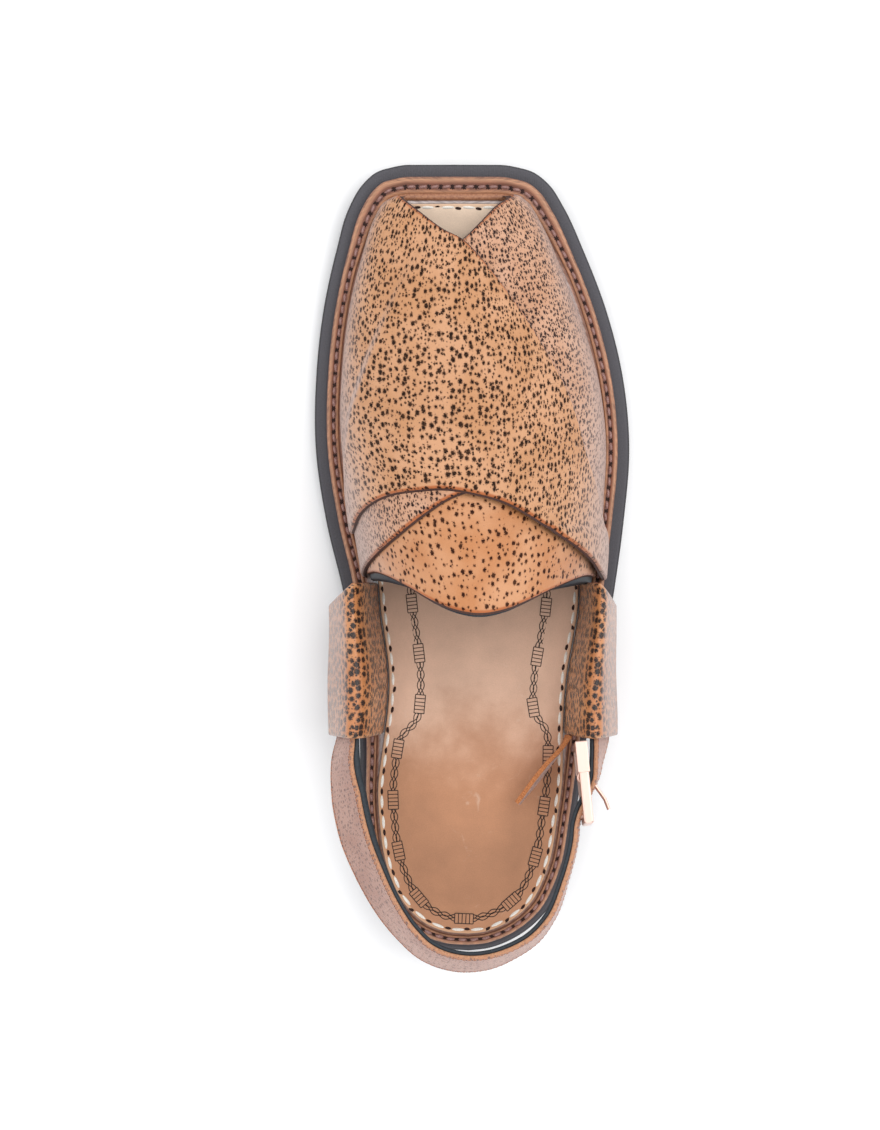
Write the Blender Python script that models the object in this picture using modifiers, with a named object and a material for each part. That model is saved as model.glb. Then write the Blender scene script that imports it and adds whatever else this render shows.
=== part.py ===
"""Peshawari chappal, right shoe, empty and standing on its sole.

Metres, +Z up, toe along +Y, lateral side along +X.
The origin is on the floor under the heel's flat tread.
"""
import math

import bmesh
import bpy
import numpy as np
from mathutils import Matrix, Vector

# Sole sizes
SOLE_LENGTH = 0.309
BALL_WIDTH = 0.124
SOLE_REAR = -0.030
HEEL_LIFT = 0.012
HEEL_LENGTH = 0.082
HEEL_SET_BACK = 0.0006
HEEL_CORNER_ROOM = 0.003
EDGE_STEP = 0.00005
TOE_SPRING = 0.005
TOE_SPRING_CURVE = 1.7
BALL_SPAN = (0.555, 0.760)
OUTSOLE_THICKNESS = 0.008
MIDSOLE_THICKNESS = 0.0036
INSOLE_THICKNESS = 0.003
RIM_HEEL_WIDTH = 0.0026
RIM_WIDTH = 0.0048
RIM_TOE_WIDTH = 0.0051
WELT_WIDTH = 0.0055
INSOLE_HEEL_MARGIN = 0.0072
INSOLE_WAIST_MARGIN = 0.0130
INSOLE_FOREFOOT_MARGIN = 0.0152
INSOLE_TOE_MARGIN = 0.0158
TREAD_GROOVE_WIDTH = 0.003
TREAD_GROOVE_DEPTH = 0.0015
TREAD_GROOVE_SPACING = 0.013
TREAD_GROOVE_START = 0.006
TREAD_GROOVE_REACH = 1.2
FOREFOOT_GROOVES = 6
SHARP_ANGLE = 35.0

# Upper sizes
STRAP_LEATHER = 0.0018
STRAP_SINK = 0.0006
STRAP_GRID = (28, 14)
OVER_FOOT_LIFT = 0.35
OVER_CLIMB = (0.06, 0.28)
INSTEP_HEIGHT = 0.080
LAST_TOE_SET_BACK = 0.0008
TONGUE_THICKNESS = 0.0024
TONGUE_GRID = (28, 8)
TONGUE_GAP = 0.0005
SEAT_GAP = 0.0003

# Side loop and heel strap sizes
LOOP_LENGTH = 0.059
LOOP_START = 0.4667
LOOP_HEIGHT = 0.040
LOOP_FRONT_CUT = 0.006
LOOP_CUT_SPAN = (0.45, 0.95)
LOOP_STATIONS = 6
MEDIAL_LOOP_REACH = 0.4395
LATERAL_LOOP_REACH = 0.4637
HEEL_STRAP_WIDTH = 0.022
HEEL_STRAP_THICKNESS = 0.0030
HEEL_STRAP_CORNER = 0.0006
HEEL_STRAP_END = 0.030

# Buckle and loose end sizes
BUCKLE_LENGTH = 0.031
BUCKLE_THICKNESS = 0.0038
BUCKLE_RAIL = 0.0028
BUCKLE_ROUNDING = 0.0008
SLEEVE_LENGTH = 0.012
SLEEVE_THICKNESS = 0.0004
BUCKLE_SIDE_PLAY = 0.0016
BUCKLE_GAP = 0.0022
BUCKLE_ACROSS = 0.355
BUCKLE_RISE = 0.642
BUCKLE_YAW = 5.5
BUCKLE_PITCH = -6.0
BAR_RADIUS = 0.0009
PRONG_RADIUS = 0.0007
PRONG_EYE_SWEEP = 240.0
PRONG_EYE_STEPS = 10
PRONG_LENGTH = 0.0115
PRONG_TIP = 0.0042
PRONG_HEADING = -60.0
PRONG_TIP_HEADING = -74.0
PRONG_HOLE_PLAY = 0.0005
BILLET_LENGTH = 0.033
BILLET_WIDTH = 0.011
BILLET_THICKNESS = 0.0018
BILLET_CORNER = 0.0003
BILLET_TAPER = 0.55
BILLET_TAPER_START = 0.6

# Where each margin or height changes along the sole: start and end as shares of its length
RIM_CHANGES = {"ball": (0.22, 0.52), "toe": (0.86, 1.00)}
INSOLE_CHANGES = {"waist": (0.20, 0.36), "forefoot": (0.41, 0.49), "toe": (0.85, 0.97)}
LAST_TOE_CHANGE = (0.84, 0.96)

# One row per station from the heel's rear to the toe: share of the sole's length,
# then medial and lateral half widths as shares of the ball's width.
SOLE_ROWS = [
    # along, medial, lateral
    (0.000, 0.000, 0.000),
    (0.003, 0.080, 0.062),
    (0.017, 0.168, 0.150),
    (0.046, 0.246, 0.238),
    (0.098, 0.310, 0.304),
    (0.175, 0.341, 0.341),
    (0.265, 0.343, 0.372),
    (0.355, 0.357, 0.418),
    (0.450, 0.395, 0.462),
    (0.545, 0.452, 0.496),
    (0.640, 0.486, 0.514),
    (0.730, 0.484, 0.493),
    (0.815, 0.461, 0.440),
    (0.890, 0.420, 0.368),
    (0.9440, 0.380, 0.306),
    (0.9745, 0.335, 0.256),
    (0.9895, 0.292, 0.208),
    (0.9965, 0.236, 0.149),
    (0.9993, 0.042, -0.042),
]

# Side of the outsole from its tread to its top edge: inset, then share of the thickness
OUTSOLE_SIDE = [(1.2, 0.00), (0.2, 0.16), (0.0, 0.44), (0.9, 0.50),
                (0.9, 0.58), (0.0, 0.64), (0.0, 0.86), (0.9, 1.00)]
MIDSOLE_SIDE = [(0.4, 0.00), (0.0, 0.30), (0.0, 0.75), (0.5, 1.00)]
INSOLE_SIDE = [(0.3, 0.00), (0.0, 0.25), (0.0, 0.70), (0.8, 1.00)]
HEEL_SIDE = [(1.5, 0.00), (0.6, 0.12), (0.3, 0.90), (0.3, 1.00)]

# The last above the welt, from the throat to the toe: share of the sole's length, crest height as
# a share of the instep's height, crest's lean to the medial side as a share of the ball's width,
# and how far the medial and lateral walls spread over the welt as shares of the welt's width.
LAST_ROWS = [
    # along, height, lean, medial, lateral
    (0.380, 1.060, 0.020, 0.60, 0.90),
    (0.430, 1.000, 0.030, 0.50, 0.90),
    (0.500, 0.910, 0.038, 0.15, 0.75),
    (0.560, 0.815, 0.037, -0.10, 0.28),
    (0.600, 0.750, 0.034, -0.20, 0.18),
    (0.640, 0.680, 0.030, -0.05, 0.16),
    (0.700, 0.575, 0.022, 0.00, 0.10),
    (0.765, 0.460, 0.014, 0.00, -0.05),
    (0.830, 0.360, 0.007, 0.00, -0.22),
    (0.905, 0.250, 0.000, 0.00, -0.05),
    (0.960, 0.160, 0.000, 0.00, 0.00),
    (0.985, 0.120, 0.000, 0.00, 0.00),
]

# Edges of the two front straps: share of the way across the last from its medial welt to its
# lateral one, then where the front and rear edges lie as shares of the sole's length.
OVER_STRAP_EDGES = [
    # across, front, rear
    (0.00, 0.945, 0.530),
    (0.10, 0.951, 0.536),
    (0.16, 0.953, 0.551),
    (0.22, 0.949, 0.563),
    (0.30, 0.939, 0.574),
    (0.38, 0.924, 0.578),
    (0.45, 0.907, 0.579),
    (0.52, 0.891, 0.573),
    (0.59, 0.858, 0.563),
    (0.66, 0.809, 0.545),
    (0.72, 0.749, 0.527),
    (0.78, 0.684, 0.513),
    (0.82, 0.628, 0.504),
    (0.86, 0.599, 0.495),
    (0.92, 0.560, 0.480),
    (1.00, 0.500, 0.471),
]
UNDER_STRAP_EDGES = [
    (0.00, 0.545, 0.474),
    (0.05, 0.572, 0.478),
    (0.12, 0.620, 0.488),
    (0.20, 0.695, 0.502),
    (0.28, 0.775, 0.520),
    (0.34, 0.830, 0.536),
    (0.40, 0.866, 0.554),
    (0.46, 0.881, 0.571),
    (0.52, 0.897, 0.580),
    (0.60, 0.920, 0.572),
    (0.68, 0.939, 0.556),
    (0.76, 0.948, 0.538),
    (0.85, 0.953, 0.515),
    (0.92, 0.955, 0.502),
    (1.00, 0.955, 0.490),
]
TONGUE_EDGES = [
    (0.04, 0.530, 0.477),
    (0.09, 0.565, 0.479),
    (0.17, 0.605, 0.480),
    (0.24, 0.625, 0.474),
    (0.31, 0.640, 0.463),
    (0.38, 0.648, 0.448),
    (0.45, 0.650, 0.437),
    (0.52, 0.650, 0.433),
    (0.59, 0.650, 0.438),
    (0.66, 0.645, 0.449),
    (0.73, 0.638, 0.461),
    (0.80, 0.590, 0.470),
    (0.88, 0.520, 0.476),
    (0.96, 0.496, 0.474),
]

# Section of a side loop: outer skin, then the cavity, as shares of the loop's depth and height
LOOP_ROWS = [
    # out, up, cavity_out, cavity_up
    (-0.056, 0.008, 0.075, 0.120),
    (-0.035, 0.170, 0.085, 0.215),
    (0.060, 0.430, 0.170, 0.430),
    (0.165, 0.700, 0.272, 0.690),
    (0.250, 0.890, 0.356, 0.870),
    (0.350, 0.985, 0.410, 0.932),
    (0.490, 1.010, 0.492, 0.950),
    (0.632, 0.950, 0.566, 0.908),
    (0.707, 0.838, 0.600, 0.835),
    (0.815, 0.650, 0.707, 0.640),
    (0.948, 0.425, 0.840, 0.415),
    (1.000, 0.288, 0.892, 0.297),
    (0.910, 0.172, 0.830, 0.218),
    (0.600, 0.092, 0.570, 0.156),
    (0.300, 0.036, 0.290, 0.112),
    (0.185, 0.008, 0.165, 0.105),
]
# Rows at the top and foot of the loop's outer ply, and where the strap's middle runs inside
OUTER_PLY = (8, 10)
STRAP_IN_LOOP = {"out": 0.607, "up": 0.612}

# Heel strap from the medial loop round the heel: share of the run from the sole's rear to the
# loops' rear, share of the ball's width, height of the strap's middle as a share of the instep's
# height, and lean in degrees of its top edge towards the foot.
MEDIAL_STRAP_ROWS = [
    # along, across, height, lean
    (0.890, -0.386, 0.626, 21.0),
    (0.725, -0.387, 0.650, 24.0),
    (0.555, -0.360, 0.690, 25.0),
    (0.395, -0.312, 0.725, 24.0),
    (0.225, -0.242, 0.750, 23.0),
    (0.134, -0.190, 0.762, 22.0),
    (0.054, -0.130, 0.770, 21.0),
    (0.004, -0.028, 0.772, 20.0),
]
# The same for the lateral side, along the run from the sole's rear to the buckle's rear end
LATERAL_STRAP_ROWS = [
    # along, across, height, lean
    (0.018, 0.057, 0.770, 18.0),
    (0.078, 0.126, 0.765, 15.0),
    (0.191, 0.201, 0.755, 12.0),
    (0.330, 0.247, 0.742, 8.0),
    (0.604, 0.292, 0.712, 5.0),
    (0.890, 0.322, 0.678, 4.0),
]
# The strap's run through the buckle, out over its centre bar, from the buckle's middle: shares of
# the buckle's length forward, outward and up, then lean in degrees.
BUCKLE_STRAP_ROWS = [
    # forward, outward, rise, lean
    (-0.490, -0.110, 0.055, 4.0),
    (-0.340, -0.068, 0.030, 4.0),
    (-0.142, 0.022, 0.006, 4.0),
    (0.068, 0.115, -0.015, 5.0),
    (0.310, 0.156, -0.048, 9.0),
]

# Middle line of the loose end from the lateral loop's rear hem: shares of its length back,
# inwards and up, then lean in degrees.
BILLET_START = {"out": 0.02, "up": 0.26}
BILLET_ROWS = [
    # back, inward, rise, lean
    (0.00, 0.00, 0.00, 4.0),
    (0.11, 0.06, 0.01, 8.0),
    (0.33, 0.24, 0.03, 12.0),
    (0.56, 0.42, 0.04, 14.0),
    (0.79, 0.60, 0.04, 15.0),
]


def smooth_curve(points, per_span):
    """Points on a cubic curve through the given ones, tangents worked out over chord length."""
    points = [np.array(point, float) for point in points]
    chords = [max(np.linalg.norm(b - a), 1e-9) for a, b in zip(points, points[1:])]
    slopes = [(b - a) / chord for a, b, chord in zip(points, points[1:], chords)]
    tangents = [slopes[0]]
    for index in range(1, len(points) - 1):
        before, after = chords[index - 1], chords[index]
        tangents.append((slopes[index - 1] * after + slopes[index] * before) / (before + after))
    tangents.append(slopes[-1])
    curve = []
    for index, chord in enumerate(chords):
        for step in range(per_span):
            t = step / per_span
            start = (1 + 2 * t) * (1 - t) ** 2 * points[index] + t * (1 - t) ** 2 * chord * tangents[index]
            end = t * t * (3 - 2 * t) * points[index + 1] - t * t * (1 - t) * chord * tangents[index + 1]
            curve.append(start + end)
    curve.append(points[-1])
    return curve


def column_reader(rows, column):
    """A function that reads one column of a table at any value of its first column."""
    curve = smooth_curve([(row[0], row[column]) for row in rows], 8)
    places = [point[0] for point in curve]
    values = [point[1] for point in curve]
    return lambda place: float(np.interp(place, places, values))


def ease(value):
    """Zero below 0, one above 1, with a soft start and end between."""
    value = min(max(value, 0.0), 1.0)
    return value * value * (3 - 2 * value)


def change(share, span):
    """How far a change along the sole has come at a share of its length."""
    return ease((share - span[0]) / (span[1] - span[0]))


def place_along(share):
    """Y of a share of the sole's length."""
    return SOLE_REAR + share * SOLE_LENGTH


def share_along(y):
    return (y - SOLE_REAR) / SOLE_LENGTH


HEEL_FRONT = SOLE_REAR + HEEL_LENGTH
BALL_REAR = place_along(BALL_SPAN[0])
BALL_FRONT = place_along(BALL_SPAN[1])
SOLE_FRONT = place_along(1.0)
LOOP_FRONT = place_along(LOOP_START)
LOOP_REAR = LOOP_FRONT - LOOP_LENGTH
BUCKLE_FRONT = LOOP_REAR - BUCKLE_GAP - SLEEVE_THICKNESS
BUCKLE_REAR = BUCKLE_FRONT - BUCKLE_LENGTH
BUCKLE_MIDDLE = Vector((BUCKLE_ACROSS * BALL_WIDTH, (BUCKLE_FRONT + BUCKLE_REAR) / 2,
                        BUCKLE_RISE * INSTEP_HEIGHT))


def sole_rise(y):
    """Height of the outsole's underside over the floor: heel, arch, flat ball and toe spring."""
    arch_start = HEEL_FRONT + HEEL_SET_BACK
    lift = HEEL_LIFT * (1 - ease((y - arch_start) / (BALL_REAR - arch_start)))
    spring = max(y - BALL_FRONT, 0.0) / (SOLE_FRONT - BALL_FRONT)
    return lift + TOE_SPRING * spring ** TOE_SPRING_CURVE


def sole_edge(side, margin, per_span=3):
    """Edge of the sole's outline from heel to toe, set in by a margin; side is -1 medial, 1 lateral."""
    column = 1 if side < 0 else 2
    points = [(side * row[column] * BALL_WIDTH, place_along(row[0])) for row in SOLE_ROWS]
    curve = smooth_curve(points, per_span)
    edge = []
    for index, point in enumerate(curve):
        before = curve[max(index - 1, 0)]
        after = curve[min(index + 1, len(curve) - 1)]
        if index == 0:
            before = np.array((-after[0], after[1]))
        if index == len(curve) - 1:
            after = np.array((2 * point[0] - before[0], before[1]))
        along = (after - before) / np.linalg.norm(after - before)
        inward = np.array((-side * along[1], side * along[0]))
        amount = margin(share_along(point[1])) if callable(margin) else margin
        edge.append(point + inward * amount)
    # near the toe's corners a wide margin would fold the edge: it keeps running forwards and inwards
    for point, following in zip(edge[-2::-1], edge[:0:-1]):
        point[1] = min(point[1], following[1] - EDGE_STEP)
    for point, following in zip(edge, edge[1:]):
        if following[1] > BALL_FRONT:
            following[0] = side * min(side * point[0] - EDGE_STEP, side * following[0])
    return edge


def edge_reader(side, margin):
    """A function that gives the X of the sole's inset edge at any Y."""
    edge = sole_edge(side, margin, 8)
    places = np.maximum.accumulate([point[1] for point in edge])
    values = [point[0] for point in edge]
    return lambda y: float(np.interp(y, places, values))


def insole_margin(share):
    """The insole is wide in the heel, narrower at the waist and clear of the upper's wall in front."""
    margin = INSOLE_HEEL_MARGIN
    margin += (INSOLE_WAIST_MARGIN - INSOLE_HEEL_MARGIN) * change(share, INSOLE_CHANGES["waist"])
    margin += (INSOLE_FOREFOOT_MARGIN - INSOLE_WAIST_MARGIN) * change(share, INSOLE_CHANGES["forefoot"])
    return margin + (INSOLE_TOE_MARGIN - INSOLE_FOREFOOT_MARGIN) * change(share, INSOLE_CHANGES["toe"])


def rim_margin(share):
    """The rubber's rim is narrow round the heel and widest at the toe."""
    margin = RIM_HEEL_WIDTH + (RIM_WIDTH - RIM_HEEL_WIDTH) * change(share, RIM_CHANGES["ball"])
    return margin + (RIM_TOE_WIDTH - RIM_WIDTH) * change(share, RIM_CHANGES["toe"])


def last_margin(share):
    """The last's foot stands in from the sole's edge by rim, welt and leather, and more at the toe."""
    return RIM_WIDTH + WELT_WIDTH + STRAP_LEATHER + LAST_TOE_SET_BACK * change(share, LAST_TOE_CHANGE)


def new_material(name, colour, roughness, metallic=0.0):
    material = bpy.data.materials.new(name)
    material.use_nodes = True
    shader = material.node_tree.nodes["Principled BSDF"]
    shader.inputs["Base Color"].default_value = (*colour, 1.0)
    shader.inputs["Roughness"].default_value = roughness
    shader.inputs["Metallic"].default_value = metallic
    return material


def keep(name, mesh, material):
    """Put a finished mesh in the shoe's collection as one named object."""
    item = bpy.data.objects.new(name, mesh)
    shoe.objects.link(item)
    mesh.materials.clear()
    mesh.materials.append(material)
    mesh.shade_smooth()
    mesh.set_sharp_from_angle(angle=math.radians(SHARP_ANGLE))
    return item


def closed_mesh(name, rings, close_ring=True):
    """Loft through closed rings of equal count, with the first and last ring left open for caps."""
    shell = bmesh.new()
    layers = [[shell.verts.new(point) for point in ring] for ring in rings]
    count = len(rings[0])
    for lower, upper in zip(layers, layers[1:]):
        for index in range(count if close_ring else count - 1):
            following = (index + 1) % count
            shell.faces.new((lower[index], lower[following], upper[following], upper[index]))
    return shell, layers


def finish_mesh(name, shell):
    """Weld, turn the faces outward and hand back a mesh."""
    bmesh.ops.remove_doubles(shell, verts=shell.verts, dist=0.00001)
    bmesh.ops.recalc_face_normals(shell, faces=shell.faces)
    mesh = bpy.data.meshes.new(name)
    shell.to_mesh(mesh)
    shell.free()
    return mesh


def sole_layer(name, margin, side_rows, lower, upper, material, front=None):
    """A sheet with the sole's outline; its side follows rows of inset in millimetres and height share."""
    rings = []
    kept = sum(point[1] < (front or SOLE_FRONT) - HEEL_CORNER_ROOM for point in sole_edge(1, 0.0))
    for inset, share in side_rows:
        amount = inset / 1000
        reach = (lambda along, extra=amount: margin(along) + extra) if callable(margin) else margin + amount
        edges = []
        for side in (-1, 1):
            edge = sole_edge(side, reach)
            if front is not None:
                limit = front - amount
                corner = np.array((edge_reader(side, reach)(limit), limit))
                edge = edge[:kept] + [corner]
            edges.append(edge)
        count = min(len(edges[0]), len(edges[1]))
        ring = edges[0][:count - 1] + edges[0][-1:] + edges[1][-1:] + edges[1][:count - 1][::-1]
        rings.append([(x, y, lower(y) + share * (upper(y) - lower(y))) for x, y in ring])
    shell, layers = closed_mesh(name, rings)
    half = len(layers[0]) // 2
    for layer in (layers[0], layers[-1]):
        for index in range(half - 1):
            shell.faces.new((layer[index], layer[index + 1], layer[-2 - index], layer[-1 - index]))
    return keep(name, finish_mesh(name, shell), material)


def outsole_top(y):
    return sole_rise(y) + OUTSOLE_THICKNESS


def midsole_top(y):
    return outsole_top(y) + SEAT_GAP + MIDSOLE_THICKNESS


def welt_seat(y):
    """Height at which everything that stands on the welt begins."""
    return midsole_top(y) + SEAT_GAP


medial_wall = edge_reader(-1, last_margin)
lateral_wall = edge_reader(1, last_margin)
crest_height = column_reader(LAST_ROWS, 1)
crest_lean = column_reader(LAST_ROWS, 2)
medial_spread = column_reader(LAST_ROWS, 3)
lateral_spread = column_reader(LAST_ROWS, 4)


def last_surface(along, across):
    """Point on the last: along from heel to toe, across from the medial welt to the lateral welt."""
    y = place_along(along)
    medial = medial_wall(y) - medial_spread(along) * WELT_WIDTH
    lateral = lateral_wall(y) + lateral_spread(along) * WELT_WIDTH
    angle = math.pi * across
    height = INSTEP_HEIGHT * crest_height(along) * math.sin(angle)
    x = (medial + lateral) / 2 - (lateral - medial) / 2 * math.cos(angle)
    x -= crest_lean(along) * BALL_WIDTH * math.sin(angle)
    return Vector((x, y, welt_seat(y) + height))


def last_point(along, across, lift):
    """Point at a distance above the last's surface."""
    step = 0.002
    forward = last_surface(along + step, across) - last_surface(along - step, across)
    sideways = last_surface(along, across + step) - last_surface(along, across - step)
    outward = sideways.cross(forward).normalized()
    point = last_surface(along, across) + outward * lift
    point.z = max(point.z, welt_seat(point.y))
    return point


def leather_sheet(name, edges, lift_low, lift_high, grid_counts):
    """A thick sheet on the last between a front edge and a rear edge."""
    columns, rows = grid_counts
    front = column_reader(edges, 1)
    rear = column_reader(edges, 2)
    start, end = edges[0][0], edges[-1][0]
    skins = []
    for lift in (lift_low, lift_high):
        skin = []
        for column in range(columns + 1):
            across = start + (end - start) * column / columns
            fore, aft = front(across), rear(across)
            places = [aft + (fore - aft) * row / rows for row in range(rows + 1)]
            skin.append([last_point(along, across, lift(along, across)) for along in places])
        skins.append(skin)
    shell = bmesh.new()
    grids = [[[shell.verts.new(point) for point in line] for line in skin] for skin in skins]
    for grid in grids:
        for column in range(columns):
            for row in range(rows):
                shell.faces.new((grid[column][row], grid[column + 1][row],
                                 grid[column + 1][row + 1], grid[column][row + 1]))
    inner, outer = grids
    for column in range(columns):
        for row in (0, rows):
            shell.faces.new((inner[column][row], inner[column + 1][row],
                             outer[column + 1][row], outer[column][row]))
    for row in range(rows):
        for column in (0, columns):
            shell.faces.new((inner[column][row], inner[column][row + 1],
                             outer[column][row + 1], outer[column][row]))
    return finish_mesh(name, shell)


def over_lift(along, across):
    """The over strap rises from the medial welt on to the strap that it crosses."""
    full = STRAP_LEATHER - STRAP_SINK
    return full * (OVER_FOOT_LIFT + (1 - OVER_FOOT_LIFT) * change(across, OVER_CLIMB))


def boolean(target, tool, operation):
    """Cut or join by an object that is then hidden from the build."""
    change = target.modifiers.new(operation.lower(), "BOOLEAN")
    change.operation = operation
    change.solver = "EXACT"
    change.object = tool
    tool.hide_render = True
    tool.display_type = "WIRE"
    return change


def helper(name, mesh):
    item = bpy.data.objects.new(name, mesh)
    helpers.objects.link(item)
    return item


def groove_bars(name, first, count, top):
    """Cross bars that cut the grooves of a tread."""
    shell = bmesh.new()
    for index in range(count):
        length = TREAD_GROOVE_REACH * BALL_WIDTH
        size = Matrix.Diagonal((length, TREAD_GROOVE_WIDTH, 2 * TREAD_GROOVE_DEPTH, 1.0))
        place = Matrix.Translation((0.0, first + index * TREAD_GROOVE_SPACING, top))
        bmesh.ops.create_cube(shell, size=1.0, matrix=place @ size)
    return helper(name, finish_mesh(name, shell))


insole_edges = {side: edge_reader(side, insole_margin) for side in (-1, 1)}
LOOP_FOOT = -LOOP_ROWS[0][0]


def loop_depth(side, y):
    """Distance out from the loop's foot beside the insole to its outer wall, which runs straight."""
    reach = MEDIAL_LOOP_REACH if side < 0 else LATERAL_LOOP_REACH
    room = reach * BALL_WIDTH - abs(insole_edges[side](y)) - SEAT_GAP
    return room / (1 + LOOP_FOOT)


def loop_point(side, y, out, up):
    """Point of the loop's section, out from its foot beside the insole and up from the welt."""
    depth = loop_depth(side, y)
    foot = abs(insole_edges[side](y)) + SEAT_GAP + LOOP_FOOT * depth
    return Vector((side * (foot + out * depth), y, midsole_top(y) + up * LOOP_HEIGHT))


def side_loop(name, side, material):
    """Folded leather loop with a teardrop section, open at the front and at the rear."""
    skin = smooth_curve([(row[0], row[1]) for row in LOOP_ROWS], 2)
    cavity = smooth_curve([(row[2], row[3]) for row in LOOP_ROWS], 2)
    skins = []
    for outline in (skin, cavity):
        rings = []
        for index in range(LOOP_STATIONS + 1):
            ring = []
            for out, up in outline:
                front = LOOP_FRONT - LOOP_FRONT_CUT * change(out, LOOP_CUT_SPAN)
                y = LOOP_REAR + (front - LOOP_REAR) * index / LOOP_STATIONS
                ring.append(loop_point(side, y, out, up))
            rings.append(ring)
        skins.append(rings)
    shell = bmesh.new()
    grids = [[[shell.verts.new(point) for point in ring] for ring in rings] for rings in skins]
    count = len(skin)
    for grid in grids:
        for lower, upper in zip(grid, grid[1:]):
            for index in range(count):
                following = (index + 1) % count
                shell.faces.new((lower[index], lower[following], upper[following], upper[index]))
    for station in (0, -1):
        for index in range(count):
            following = (index + 1) % count
            shell.faces.new((grids[0][station][index], grids[0][station][following],
                             grids[1][station][following], grids[1][station][index]))
    return keep(name, finish_mesh(name, shell), material)


def band(name, rows, width, thickness, corner, per_span):
    """A strap swept along rows of middle point and lean; its top edge leans away from outward."""
    stations = smooth_curve([row[0] for row in rows], per_span)
    leans = np.interp(np.arange(len(stations)) / per_span, range(len(rows)), [row[1] for row in rows])
    rings = []
    for index, station in enumerate(stations):
        before = stations[max(index - 1, 0)]
        after = stations[min(index + 1, len(stations) - 1)]
        forward = Vector(after - before).normalized()
        outward = forward.cross(Vector((0, 0, 1))).normalized()
        upright = outward.cross(forward).normalized()
        lean = math.radians(leans[index])
        up = upright * math.cos(lean) - outward * math.sin(lean)
        out = outward * math.cos(lean) + upright * math.sin(lean)
        half, deep = width(index / (len(stations) - 1)) / 2, thickness / 2
        section = [(-half + corner, deep), (half - corner, deep),
                   (half, deep - corner), (half, corner - deep),
                   (half - corner, -deep), (corner - half, -deep),
                   (-half, corner - deep), (-half, deep - corner)]
        rings.append([Vector(station) + up * rise + out * reach for rise, reach in section])
    shell, layers = closed_mesh(name, rings)
    shell.faces.new(layers[0])
    shell.faces.new(layers[-1])
    return finish_mesh(name, shell)


def heel_strap_rows():
    """Middle line of the heel strap, from inside the medial loop to inside the lateral loop."""
    inside = []
    for side in (-1, 1):
        high, low = LOOP_ROWS[OUTER_PLY[0]], LOOP_ROWS[OUTER_PLY[1]]
        front = LOOP_FRONT - HEEL_STRAP_END
        line = []
        for y in (front, (front + LOOP_REAR) / 2, LOOP_REAR):
            run = (low[2] - high[2]) * loop_depth(side, y)
            lean = math.degrees(math.atan2(run, (high[3] - low[3]) * LOOP_HEIGHT))
            line.append((loop_point(side, y, STRAP_IN_LOOP["out"], STRAP_IN_LOOP["up"]), lean))
        inside.append(line)
    behind = []
    for rows, end in ((MEDIAL_STRAP_ROWS, LOOP_REAR), (LATERAL_STRAP_ROWS, BUCKLE_REAR)):
        for along, across, height, lean in rows:
            y = SOLE_REAR + along * (end - SOLE_REAR)
            behind.append((Vector((across * BALL_WIDTH, y, height * INSTEP_HEIGHT)), lean))
    for forward, outward, rise, lean in BUCKLE_STRAP_ROWS:
        behind.append((BUCKLE_MIDDLE + Vector((outward, forward, rise)) * BUCKLE_LENGTH, lean))
    return inside[0] + behind + inside[1][::-1]


def rounded_block(name, size, centre, place):
    """A box with rounded edges, among the helpers."""
    shell = bmesh.new()
    matrix = Matrix.Translation(centre) @ Matrix.Diagonal((*size, 1.0))
    bmesh.ops.create_cube(shell, size=1.0, matrix=matrix)
    item = helper(name, finish_mesh(name, shell))
    item.matrix_world = place
    return item


def round_edges(item, width):
    bevel = item.modifiers.new("rounding", "BEVEL")
    bevel.width = width
    bevel.segments = 2


def buckle_place():
    """The buckle's own frame: X through its thickness, Y along it, Z up its centre bar."""
    yaw = Matrix.Rotation(math.radians(BUCKLE_YAW), 4, "Z")
    pitch = Matrix.Rotation(math.radians(BUCKLE_PITCH), 4, "X")
    return Matrix.Translation(BUCKLE_MIDDLE) @ yaw @ pitch


def make_buckle_frame(material):
    """Flat frame with a sleeve on its front half, one window and a centre bar for the prong."""
    place = buckle_place()
    window = HEEL_STRAP_WIDTH + 2 * BUCKLE_SIDE_PLAY
    height = window + 2 * BUCKLE_RAIL
    shell = bmesh.new()
    size = Matrix.Diagonal((BUCKLE_THICKNESS, BUCKLE_LENGTH, height, 1.0))
    bmesh.ops.create_cube(shell, size=1.0, matrix=size)
    frame = keep("buckle_frame", finish_mesh("buckle_frame", shell), material)
    frame.matrix_world = place
    round_edges(frame, BUCKLE_ROUNDING)
    sleeve_size = (BUCKLE_THICKNESS + 2 * SLEEVE_THICKNESS, SLEEVE_LENGTH, height + 2 * SLEEVE_THICKNESS)
    sleeve_middle = (0.0, (BUCKLE_LENGTH - SLEEVE_LENGTH) / 2 + SLEEVE_THICKNESS, 0.0)
    sleeve = rounded_block("sleeve", sleeve_size, sleeve_middle, place)
    round_edges(sleeve, BUCKLE_ROUNDING / 2)
    boolean(frame, sleeve, "UNION")
    opening_size = (BUCKLE_THICKNESS * 3, BUCKLE_LENGTH - 2 * BUCKLE_RAIL, window)
    opening = rounded_block("window", opening_size, (0.0, 0.0, 0.0), place)
    boolean(frame, opening, "DIFFERENCE")
    pin = bmesh.new()
    spot = Matrix.Translation((0.0, bar_place(), 0.0))
    bmesh.ops.create_cone(pin, cap_ends=True, segments=12, radius1=BAR_RADIUS, radius2=BAR_RADIUS,
                          depth=window + BUCKLE_RAIL, matrix=spot)
    bar = helper("centre_bar", finish_mesh("centre_bar", pin))
    bar.matrix_world = place
    boolean(frame, bar, "UNION")
    frame.modifiers.new("triangles", "TRIANGULATE")
    return frame


def bar_place():
    """Where the centre bar stands along the buckle, just behind its sleeve."""
    return BUCKLE_LENGTH / 2 - SLEEVE_LENGTH - BAR_RADIUS


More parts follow.
